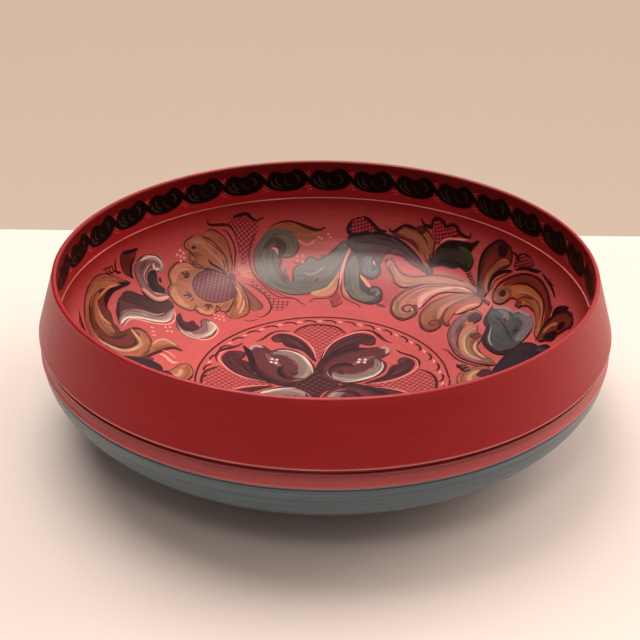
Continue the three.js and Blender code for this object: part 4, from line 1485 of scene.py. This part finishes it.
def brown_plume(coat):
    """Dark brown plume at the upper right with a round black end and an ochre stripe."""
    cap = [(121, 83), (128, 89), (136, 81), (137, 74), (127, 79)]
    netted_cap(coat, cap, 2, (-28, 40), 0.8, "liner")
    coat.line([(122, 82), (128, 79), (137, 69), (140, 66)], 2.4, "black")
    coat.line([(125, 93), (127, 90), (127, 85), (128, 87), (133, 86), (137, 80), (137, 74)],
        (1.2, 2.6, 0.9, 0.9, 0.4), "black")
    coat.patch([(94, 78), (97, 94), (106, 105), (112, 107), (126, 97), (121, 88), (116, 88), (110, 90),
        (104, 88), (100, 83), (98, 77)], "umber")
    coat.stroke([(96, 82), (98, 91), (103, 99), (111, 103), (118, 101)], (2.4, 8), "black", "umber", -0.4,
        1.2)
    coat.stroke([(97, 84), (101, 92), (106, 97), (113, 99)], (1, 3.8, 3.4), "umber", "russet")
    coat.stroke([(99, 78), (103, 90), (116, 92), (121, 88)], 5, "dark_ochre", "ochre", 0, 0.9,
        lines=(0.5, 0))
    coat.line([(100, 79), (103, 85), (109, 88), (120, 83)], 2.4, "black")
    coat.line([(102, 80), (106, 85), (111, 85), (116, 84)], 1.3, "coral_light")
    coat.dots([(119.5, 98.5)], 8.6, "black")
    coat.line([(94, 78), (95, 87), (101, 102), (107, 106), (120, 105), (124, 100), (125, 94)], 2, "black")


def striped_plume(coat):
    """Tall striped plume at the right, rolled up at both ends."""
    coat.line([(140, 65), (142, 48), (141, 42)], 1.8, "black")
    coat.line([(143, 58), (143, 54), (144, 49)], 0.9, "black")
    coat.patch([(104, 68), (102, 73), (105, 78), (110, 80), (124, 77), (134, 65), (137, 47), (123, 23),
        (121, 27), (125, 43), (121, 55), (117, 57), (115, 59), (117, 61), (113, 67), (108, 66)], "rust")
    coat.stroke([(110, 78), (118, 77), (132, 64), (134, 45), (124, 26)], 6, "umber", "russet", 0.3, 0.8)
    coat.stroke([(112, 68), (118, 69), (129, 56), (130, 47), (123, 28)], 6, "rust", "ochre", -0.2)
    coat.stroke([(117, 60), (121, 61), (125, 55), (126, 40), (123, 31)], 3.8, "dark_ochre", "ochre", 0.5,
        0.8)
    coat.line([(113, 76), (120, 73), (127, 67), (133, 49), (125, 30)], 1.4)
    coat.line([(118, 66), (123, 62), (128, 54), (129, 46), (126, 37)], 0.9, "umber")
    coat.stroke([(111, 66), (114, 70), (112, 75), (107, 76), (105, 72), (106, 68), (110, 68)], 2.6, "umber",
        "tan", -0.2, 0.8)
    coat.dots([(109, 72.5)], 4.6, "black")
    coat.line([(111, 66), (106, 66), (102, 71), (104, 77), (110, 81), (126, 76), (137, 61), (136, 42),
        (124, 25)], 1.6)
    coat.line([(114, 59), (116, 61), (120, 62), (124, 59), (127, 54)], 1.4, "umber")
    coat.dots([(117, 58.5)], 4.0, "umber")
    for k in range(3):
        coat.line([(120.6 + 1.4 * k, 23 + 1.6 * k), (127 + 1.8 * k, 30.6 + 1.4 * k),
            (133 + 2.2 * k, 38.6 + 0.6 * k)], 0.8, "rosewood")


def corner_leaf(coat):
    """Dark leaf below the striped plume, and the small scroll beside the medallion."""
    coat.patch([(122, 21), (124, 27), (136, 31), (146, 23), (148, 16), (145, 10), (142, 13), (132, 17)],
        "umber")
    coat.stroke([(124, 23), (130, 27), (136, 27), (141, 22), (144, 15)], 4.5, "umber", "dark_ochre", 0.2,
        1.1)
    coat.line([(126, 25), (130, 27), (134, 26), (137, 23)], 2.2, "ochre")
    coat.patch([(125, 21), (128, 23), (135, 18), (130, 15)], "black")
    coat.patch([(135, 20), (138, 22), (142, 18), (138, 16)], "black")
    coat.line([(122, 23), (126, 29), (133, 32), (141, 30), (148, 17), (146, 11), (142, 12)], 2, "black")
    coat.line([(135, 33), (139, 34), (148, 25)], 3.2, "black")
    coat.patch([(73, 0), (80, 9), (91, 9), (91, 0), (86, -2), (80, -11), (76, -11)], "ochre")
    coat.stroke([(77, -9), (77, -1), (79, 4), (84, 7), (90, 5)], 4, "dark_ochre", "ochre", -0.4)
    coat.stroke([(80, -6), (80, 0), (84, 5), (88, 4)], 2.6, "ochre", "cream", 0, 0.8)
    coat.patch([(84, 1), (89, 7), (92, 4), (91, 0), (87, -1)], "aubergine")
    for k in range(3):
        coat.line([(74.6 + 1.6 * k, 15.6 - 3.6 * k), (75.4 + 1.6 * k, 12.6 - 3 * k),
            (78.8 + 1.4 * k, 10.8 - 1.2 * k)], 1.8)
        coat.line([(75.6 + k, 14 - 3 * k), (78 + k, 14.6 - 2.6 * k), (80 + k, 13.4 - 2 * k)], 1, "sage")


WALL_MOTIFS = (
    left_scroll, left_purple, small_crescent, flower_nets, ochre_flower, grey_scroll, tulip, arch_scroll,
    small_leaves, tan_plumes, right_scroll, grey_flower, brown_plume, striped_plume, corner_leaf,
)


# Geometry trees for what repeats


def new_group(name, numbers):
    """A geometry tree with a named input for each number, and its input and output nodes."""
    tree = bpy.data.node_groups.new(name, "GeometryNodeTree")
    tree.interface.new_socket("Mark", in_out="INPUT", socket_type="NodeSocketGeometry")
    for label, value in numbers.items():
        kind = "NodeSocketInt" if isinstance(value, int) else "NodeSocketFloat"
        tree.interface.new_socket(label, in_out="INPUT", socket_type=kind)
    tree.interface.new_socket("Painted", in_out="OUTPUT", socket_type="NodeSocketGeometry")
    return tree, add(tree, "NodeGroupInput").outputs


def end_group(tree, instances, material, bend_round=None):
    """Ends a tree: real mesh, bent round the bowl where asked, with its material."""
    real = add(tree, "GeometryNodeRealizeInstances", {"Geometry": instances}).outputs[0]
    if bend_round:
        real = add(tree, "GeometryNodeSetPosition", {"Geometry": real, "Position": bend_round}).outputs[0]
    painted = add(tree, "GeometryNodeSetMaterial", {"Geometry": real, "Material": material}).outputs[0]
    add(tree, "NodeGroupOutput", {0: painted})


def grow(item, tree, numbers):
    """Runs a tree on an object and keeps what it makes as a plain mesh."""
    modifier = item.modifiers.new(tree.name, "NODES")
    modifier.node_group = tree
    for socket in tree.interface.items_tree:
        if socket.name in numbers:
            modifier[socket.identifier] = numbers[socket.name]
    bpy.context.view_layer.update()
    graph = bpy.context.evaluated_depsgraph_get()
    shown_item = item.evaluated_get(graph)
    grown = bpy.data.meshes.new_from_object(shown_item, preserve_all_data_layers=True, depsgraph=graph)
    item.modifiers.clear()
    seed = item.data
    item.data = grown
    bpy.data.meshes.remove(seed)
    return item


def along_band(tree, inputs):
    """Copies of a mark in a straight row, the parts of their points' places, and the turn at each."""
    gap = maths(tree, "DIVIDE", maths(tree, "MULTIPLY", inputs["Radius"], 2 * math.pi), inputs["Repeats"])
    sockets = {"Count": inputs["Repeats"], "Offset": vector_of(tree, gap)}
    row = add(tree, "GeometryNodeMeshLine", sockets).outputs[0]
    sockets = {"Points": row, "Instance": inputs["Mark"]}
    copies = add(tree, "GeometryNodeInstanceOnPoints", sockets).outputs[0]
    parts = parts_of(tree, add(tree, "GeometryNodeInputPosition").outputs[0])
    angle = maths(tree, "SUBTRACT", inputs["Start"], maths(tree, "DIVIDE", parts[0], inputs["Radius"]))
    return copies, parts, maths(tree, "COSINE", angle), maths(tree, "SINE", angle)


def chain_tree(numbers, material):
    """Repeats a link round the ring's leaning inside."""
    tree, inputs = new_group("chain border", numbers)
    copies, parts, cosine, sine = along_band(tree, inputs)
    lean = maths(tree, "MULTIPLY", parts[1], inputs["Lean"])
    radius = maths(tree, "SUBTRACT", maths(tree, "SUBTRACT", inputs["Radius"], lean), parts[2])
    x, y = (maths(tree, "MULTIPLY", radius, share) for share in (cosine, sine))
    place = vector_of(tree, x, y, maths(tree, "ADD", inputs["Height"], parts[1]))
    end_group(tree, copies, material, place)
    return tree


def running_tree(numbers, material):
    """Repeats a mark round the medallion, on the dished floor."""
    tree, inputs = new_group("running row", numbers)
    copies, parts, cosine, sine = along_band(tree, inputs)
    radius = maths(tree, "ADD", inputs["Radius"], parts[1])
    x = maths(tree, "MULTIPLY_ADD", radius, cosine, inputs["Centre X"])
    y = maths(tree, "MULTIPLY_ADD", radius, sine, inputs["Centre Y"])
    square = maths(tree, "ADD", maths(tree, "MULTIPLY", x, x), maths(tree, "MULTIPLY", y, y))
    height = maths(tree, "MULTIPLY_ADD", square, inputs["Dish"], inputs["Floor"])
    place = vector_of(tree, x, y, maths(tree, "ADD", height, parts[2]))
    end_group(tree, copies, material, place)
    return tree


def named_input(tree, name, kind):
    """What a mesh stores under a name, for a geometry tree."""
    return add(tree, "GeometryNodeInputNamedAttribute", {"Name": name}, data_type=kind).outputs[0]


def dot_tree(numbers, material):
    """Sets a round dab of paint at each point, square to the wood."""
    tree, inputs = new_group("dots", numbers)
    sockets = {"Vertices": DAB_SIDES, "Radius Top": DAB_TOP, "Radius Bottom": DAB_FOOT}
    dab = add(tree, "GeometryNodeMeshCone", {**sockets, "Depth": inputs["Depth"]}).outputs["Mesh"]
    down = vector_of(tree, z=maths(tree, "MULTIPLY", inputs["Depth"], -1))
    dab = add(tree, "GeometryNodeTransform", {"Geometry": dab, "Translation": down}).outputs[0]
    off, size = named_input(tree, "off", "FLOAT_VECTOR"), named_input(tree, "size", "FLOAT")
    turn = add(tree, "FunctionNodeAlignRotationToVector", {"Vector": off}).outputs[0]
    scale = vector_of(tree, size, size, 1.0)
    sockets = {"Points": inputs["Mark"], "Instance": dab, "Rotation": turn, "Scale": scale}
    end_group(tree, add(tree, "GeometryNodeInstanceOnPoints", sockets).outputs[0], material)
    return tree


def ornament_material(name="ornament paint", specular=0.15, varnish=VARNISH):
    """Oil paint laid with round brushes: streaked along each stroke, from its shade to its light."""
    made = bpy.data.materials.get(name)
    if made:
        return made
    material, tree, shader = new_material(name, specular, varnish)
    shade, light = (stored(tree, name, "Color") for name in ("shade", "light"))
    brush = stored(tree, "brush")
    bristle = noise(tree, stretched(tree, brush, (0.06, 1.9, 1)), 1.0, 3.0, 0.6)
    hand = noise(tree, stretched(tree, brush, (0.1, 0.3, 1)), 1.0, 2.0)
    share = maths(tree, "ADD", stored(tree, "lit", "Fac"), ramp(tree, bristle, 0.3, 0.7, -0.34, 0.34))
    share = maths(tree, "ADD", share, ramp(tree, hand, 0.3, 0.7, -0.16, 0.16), clamp=True)
    tone = ramp(tree, bristle, 0.3, 0.7, 0.8, 1.14)
    streaks = vector_of(tree, tone, tone, tone)
    colour = blended(tree, 1.0, blended(tree, share, shade, light), streaks, "MULTIPLY")
    tree.links.new(colour, shader.inputs["Base Color"])
    tree.links.new(ramp(tree, bristle, 0.3, 0.7, 0.3, 0.4), shader.inputs["Roughness"])
    bump = add(tree, "ShaderNodeBump", {"Height": bristle, "Strength": 1.0, "Distance": BRUSH_RELIEF * MM})
    tree.links.new(bump.outputs[0], shader.inputs["Normal"])
    return material


def keep_painted(piece):
    """Tells the frame about a painted piece."""
    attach(piece, "root")


def paint_dots(name, coats):
    """Makes the small dabs of some motifs as one piece."""
    dabs = [dab for coat in coats for dab in coat.dabs]
    charts = np.array([dab[0] for dab in dabs])[:, None]
    lifts = [FIRST_LIFT + COAT_THICKNESS * (dab[3] + 1) for dab in dabs]
    points = np.vstack([on_wood(chart, lift) for chart, lift in zip(charts, lifts)])
    item = mesh_object(name, points, [], ornament_material())
    off = (on_wood(charts, 1.0) - on_wood(charts, 0.0)).reshape(-1, 3)
    paints = bpy.context.scene.bowl_paints
    colours = [(*getattr(paints, dab[2]), 1.0) for dab in dabs]
    store(item.data, "off", "FLOAT_VECTOR", off)
    store(item.data, "size", "FLOAT", [dab[1] * MM for dab in dabs])
    for paint_name in ("shade", "light"):
        store(item.data, paint_name, "FLOAT_COLOR", colours)
    numbers = {"Depth": LET_IN * MM}
    grow(item, dot_tree(numbers, ornament_material()), numbers)
    keep_painted(item)


def running_mark(coat):
    """One dark comma and one peach dash of the row inside the medallion's ring."""
    coat.line([(0, 0.5), (3, 1), (6, 0.5), (8, -1), (8.5, -3)], 1.3, "black")
    coat.line([(8.4, 0.4), (10.6, 0.2), (12.6, -1)], (0.8, 1.5, 0.8), "bright_peach")


def chain_link(coat):
    """One dark link with two lobes above and one below, and the diagonal that ties it to the next."""
    coat.patch([(-12.5, 1), (-8, 6), (-1, 5), (1, 6), (8, 6), (12.5, 1), (9, -5), (-5, -6.5)], "dark_green")
    coat.stroke([(2, 6.5), (6, 7), (18, -4), (27, -6.5)], 3, "dark_green")
    coat.stroke([(-12.5, 1), (-10, 5), (-7, 6), (-1, 3.5)], 1.8, "dark_green")
    coat.stroke([(-10.5, 2), (-10, -1), (-7, -4), (-2.5, -5)], 1.6, "dark_green", "bronze")
    coat.stroke([(-7, 3.5), (-7.5, 1), (-6, -2), (-3, -3)], 1.3, "dark_green", "bronze")
    coat.stroke([(-1.5, 2.5), (-1, -1), (1, -3), (4, -3.5)], 1.3, "dark_green", "bronze")
    coat.stroke([(4, 4.5), (7, 2), (7, -1), (5, -2)], 1.7, "dark_green", "bronze")
    for x, y in ((12.2, 4.9), (14, 5.4), (13.4, 3.6), (12.4, -4.6), (14.4, -4), (13.8, -6), (15.2, -6.2)):
        coat.line([(x - 0.3, y), (x + 0.3, y)], (1.6, 1.6), "chain_dot")


class LineJoint(bpy.types.Operator):
    """Draw the fine pale line where the ring stands on the bowl: a bead of paint over the joint, pale as a
    painted highlight of the ledge there
    """

    bl_idname = "bowl.line_joint"
    bl_label = "Joint line"

    def execute(self, context):
        low, high = TONGUE_TOP - 0.1, REBATE_TOP + 0.1
        inner, outer = MOUTH_RADIUS + 0.02, MOUTH_RADIUS + 1.22
        face = [(RING_INNER_RADIUS - 0.05, high), (inner, low + 0.2)]
        outline = np.array([(inner, low), (outer, low), (outer, high), *face, (inner, low)])
        colours = context.scene.bowl_colours
        material, tree, shader = new_material("joint line paint", 0.45)
        lines = turning_lines(tree)
        # Painted highlight: the bead's pale tones stand in for the light the ledge catches
        share = ramp(tree, lines["cloud"], 0.35, 0.65)
        pale = blended(tree, share, colours.joint_highlight_dark, colours.joint_highlight_light)
        finish_paint(tree, shader, pale, lines, 0.45, 0.02)
        keep_painted(turned("joint_line_paint", outline, context.scene.bowl_sizes.steps_round, material))
        return {"FINISHED"}


class PaintMedallion(bpy.types.Operator):
    """Paint the round medallion on the floor, with its ring, buds and leaves"""

    bl_idname = "bowl.paint_medallion"
    bl_label = "Medallion"

    def execute(self, context):
        paints, layers = context.scene.bowl_paints, Layers()
        coats = []
        for name, motif in (("leaves", medallion_leaves), ("bud", bud)):
            for quarter in range(4):
                coat = Coat(f"medallion_{name}_{quarter + 1}", paints, layers)
                coat.turn(90 * quarter, MEDALLION_HEART)
                motif(coat)
                coats.append(coat)
        for name, motif in (("heart", heart_star), ("ring", medallion_ring)):
            coat = Coat(f"medallion_{name}", paints, layers)
            motif(coat)
            coats.append(coat)
        for coat in coats:
            keep_painted(coat.finish(ornament_material()))
        paint_dots("medallion_dots", coats)

        coat = Coat("medallion_running_row", paints, Layers(), on_flat)
        running_mark(coat)
        row = coat.finish(ornament_material())
        numbers = {
            "Repeats": RUNNING_MARKS,
            "Radius": RUNNING_RADIUS * MM,
            "Start": RUNNING_START,
            "Centre X": MEDALLION_MIDDLE[0] * MM,
            "Centre Y": MEDALLION_MIDDLE[1] * MM,
            "Floor": FLOOR_CENTRE * MM,
            "Dish": FLOOR_DISH / MEDALLION_RADIUS**2 / MM,
        }
        keep_painted(grow(row, running_tree(numbers, ornament_material()), numbers))
        return {"FINISHED"}


class PaintWall(bpy.types.Operator):
    """Paint the scrolls, flowers and plumes round the wall, the same over each half turn"""

    bl_idname = "bowl.paint_wall"
    bl_label = "Wall ornament"

    def execute(self, context):
        paints, layers = context.scene.bowl_paints, Layers()
        coats = []
        for side, degrees in (("back", 0), ("front", 180)):
            for motif in WALL_MOTIFS:
                coat = Coat(f"{motif.__name__}_{side}", paints, layers, degrees=degrees)
                motif(coat)
                coats.append(coat)
        for coat in coats:
            keep_painted(coat.finish(ornament_material()))
        paint_dots("wall_dots", coats)
        return {"FINISHED"}


class PaintChain(bpy.types.Operator):
    """Paint the chain border round the inside of the ring"""

    bl_idname = "bowl.paint_chain"
    bl_label = "Chain border"

    def execute(self, context):
        coat = Coat("chain_border", context.scene.bowl_paints, Layers(), on_flat)
        chain_link(coat)
        paint_used = ornament_material("chain paint", 0.05, 0.0)
        chain = coat.finish(paint_used)
        inside_low = REBATE_TOP + INNER_BEVEL
        lean_run = RING_INNER_RADIUS - (LIP_MIDDLE_RADIUS - LIP_ROUND)
        lean = lean_run / (RIM_TOP - LIP_ROUND - inside_low)
        radius = RING_INNER_RADIUS - lean * (CHAIN_HEIGHT - inside_low)
        numbers = {
            "Repeats": CHAIN_LINKS,
            "Radius": radius * MM,
            "Start": CHAIN_START + math.pi / CHAIN_LINKS,
            "Lean": lean,
            "Height": CHAIN_HEIGHT * MM,
        }
        keep_painted(grow(chain, chain_tree(numbers, paint_used), numbers))
        return {"FINISHED"}


def plain_material(name, colour, roughness):
    """A matt surface with a faint cloudiness."""
    material, tree, shader = new_material(name, 0.2)
    shader.inputs["Roughness"].default_value = roughness
    cloud = noise(tree, add(tree, "ShaderNodeTexCoord").outputs["Object"], 3.0, 2.0)
    tones = blended(tree, ramp(tree, cloud, 0.3, 0.7), scaled(colour, 0.97), colour)
    tree.links.new(tones, shader.inputs["Base Color"])
    return material


def lamp(name, place, size, power, in_gloss=True, in_paint=True):
    """A round soft lamp that faces the bowl, seen by its gloss, by its bare colour, or by both."""
    light = bpy.data.lights.new(name, "AREA")
    light.shape = "DISK"
    light.size = size
    light.energy = power
    light.color = LAMP_COLOUR
    item = bpy.data.objects.new(name, light)
    item.location = place
    item.visible_glossy = in_gloss
    item.visible_diffuse = in_paint
    item.rotation_mode = "QUATERNION"
    item.rotation_quaternion = (Vector(LAMP_AIM) - Vector(place)).to_track_quat("-Z", "Y")
    bpy.context.scene.collection.objects.link(item)
    return item


def photograph_camera(stage):
    """The camera at the photograph's place, with its tilt and its slight roll."""
    pitch, yaw, roll = stage.camera_pitch, stage.camera_yaw, stage.camera_roll
    ahead = Vector((math.sin(yaw) * math.cos(pitch), math.cos(yaw) * math.cos(pitch), -math.sin(pitch)))
    right = Vector((math.cos(yaw), -math.sin(yaw), 0))
    up = right.cross(ahead)
    turned_right = right * math.cos(roll) + up * math.sin(roll)
    turned_up = up * math.cos(roll) - right * math.sin(roll)
    data = bpy.data.cameras.new("camera")
    data.sensor_width = SENSOR_WIDTH
    data.lens = SENSOR_WIDTH * FOCAL_PIXELS / PICTURE_PIXELS
    data.clip_start = 0.01
    data.clip_end = 20
    camera = bpy.data.objects.new("camera", data)
    turn = Matrix((turned_right, turned_up, -ahead)).transposed()
    camera.matrix_world = Matrix.Translation((0, -stage.camera_back, stage.camera_height)) @ turn.to_4x4()
    bpy.context.scene.collection.objects.link(camera)
    bpy.context.scene.camera = camera


def room(stage):
    """The world: the pale wall where the camera and the gloss look at it, dimmer on the camera's side."""
    world = bpy.data.worlds.new("room")
    world.use_nodes = True
    tree = world.node_tree
    tree.nodes.clear()
    parts = parts_of(tree, add(tree, "ShaderNodeTexCoord").outputs["Generated"])
    behind = ramp(tree, parts[1], -0.75, 0.35)
    right = ramp(tree, parts[0], -0.3, 0.3, 0.0, stage.room_level)
    near = ramp(tree, parts[2], 0.5, 0.9, stage.front_level, stage.ceiling_level)
    near = maths(tree, "MULTIPLY", near, maths(tree, "SUBTRACT", 1.0, behind))
    level = maths(tree, "MULTIPLY_ADD", behind, right, near)
    path = add(tree, "ShaderNodeLightPath").outputs
    # Painted light on the wall seen behind: its full colour low down, near the floor's edge, and a tenth
    # darker higher up
    low_share = ramp(tree, parts[2], -0.45, -0.2)
    wall = blended(tree, low_share, stage.backdrop_colour, scaled(stage.backdrop_colour, 0.9))
    light = add(tree, "ShaderNodeBackground", {"Color": (1.0, 0.9, 0.8, 1), "Strength": level})
    seen = add(tree, "ShaderNodeBackground", {"Color": wall, "Strength": 1.0})
    sockets = {0: path["Is Camera Ray"], 1: light.outputs[0], 2: seen.outputs[0]}
    both = add(tree, "ShaderNodeMixShader", sockets)
    add(tree, "ShaderNodeOutputWorld", {"Surface": both.outputs[0]})
    return world


class SetStage(bpy.types.Operator):
    """Lay the pale floor, light the room, hang the lamps and place the camera"""

    bl_idname = "bowl.set_stage"
    bl_label = "Stage"

    def execute(self, context):
        stage = context.scene.bowl_stage
        back = stage.floor_back / MM
        corners = [(-FLOOR_REACH, -FLOOR_REACH, 0), (FLOOR_REACH, -FLOOR_REACH, 0)]
        corners += [(FLOOR_REACH, back, 0), (-FLOOR_REACH, back, 0)]
        matt = plain_material("floor paint", stage.floor_colour, 0.6)
        floor = mesh_object("floor", corners, [(0, 1, 2, 3)], matt)
        photograph_camera(stage)
        lamp("high lamp", (-0.5, 0.7, 1.9), 1.7, stage.high_lamp, in_gloss=False)
        lamp("side lamp", (1.5, 0.8, 1.0), 1.5, stage.side_lamp, in_gloss=False)
        lamp("front lamp", (-0.16, -0.95, 1.4), 0.45, stage.front_lamp)
        lamp("gloss lamp", (-0.15, 0.3, 1.5), 1.5, stage.gloss_lamp, in_paint=False)
        context.scene.world = room(stage)
        context.scene.view_settings.view_transform = "Standard"
        return {"FINISHED"}


class BowlPanel(bpy.types.Panel):
    bl_idname = "VIEW3D_PT_painted_bowl"
    bl_label = "Painted bowl"
    bl_space_type = "VIEW_3D"
    bl_region_type = "UI"
    bl_category = "Bowl"

    def draw(self, context):
        for label, kind in GROUPS:
            group = getattr(context.scene, label)
            box = self.layout.box()
            for name in kind.__annotations__:
                box.prop(group, name)
        for step in STEPS:
            self.layout.operator(step.bl_idname)


GROUPS = (
    ("bowl_sizes", BowlSizes),
    ("bowl_colours", BowlColours),
    ("bowl_paints", OrnamentColours),
    ("bowl_stage", StageSettings),
)
STEPS = (SetStage, TurnRimRing, TurnBody, LineJoint, PaintMedallion, PaintWall, PaintChain)


def register():
    for name, group in GROUPS:
        bpy.utils.register_class(group)
        setattr(bpy.types.Scene, name, PointerProperty(type=group))
    for step in (*STEPS, BowlPanel):
        bpy.utils.register_class(step)


def unregister():
    for step in (BowlPanel, *reversed(STEPS)):
        bpy.utils.unregister_class(step)
    for name, group in reversed(GROUPS):
        delattr(bpy.types.Scene, name)
        bpy.utils.unregister_class(group)


def main():
    """Builds the whole scene."""
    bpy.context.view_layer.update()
    register()
    for step in STEPS:
        group, name = step.bl_idname.split(".")
        getattr(getattr(bpy.ops, group), name)()


if __name__ == "__main__":
    main()
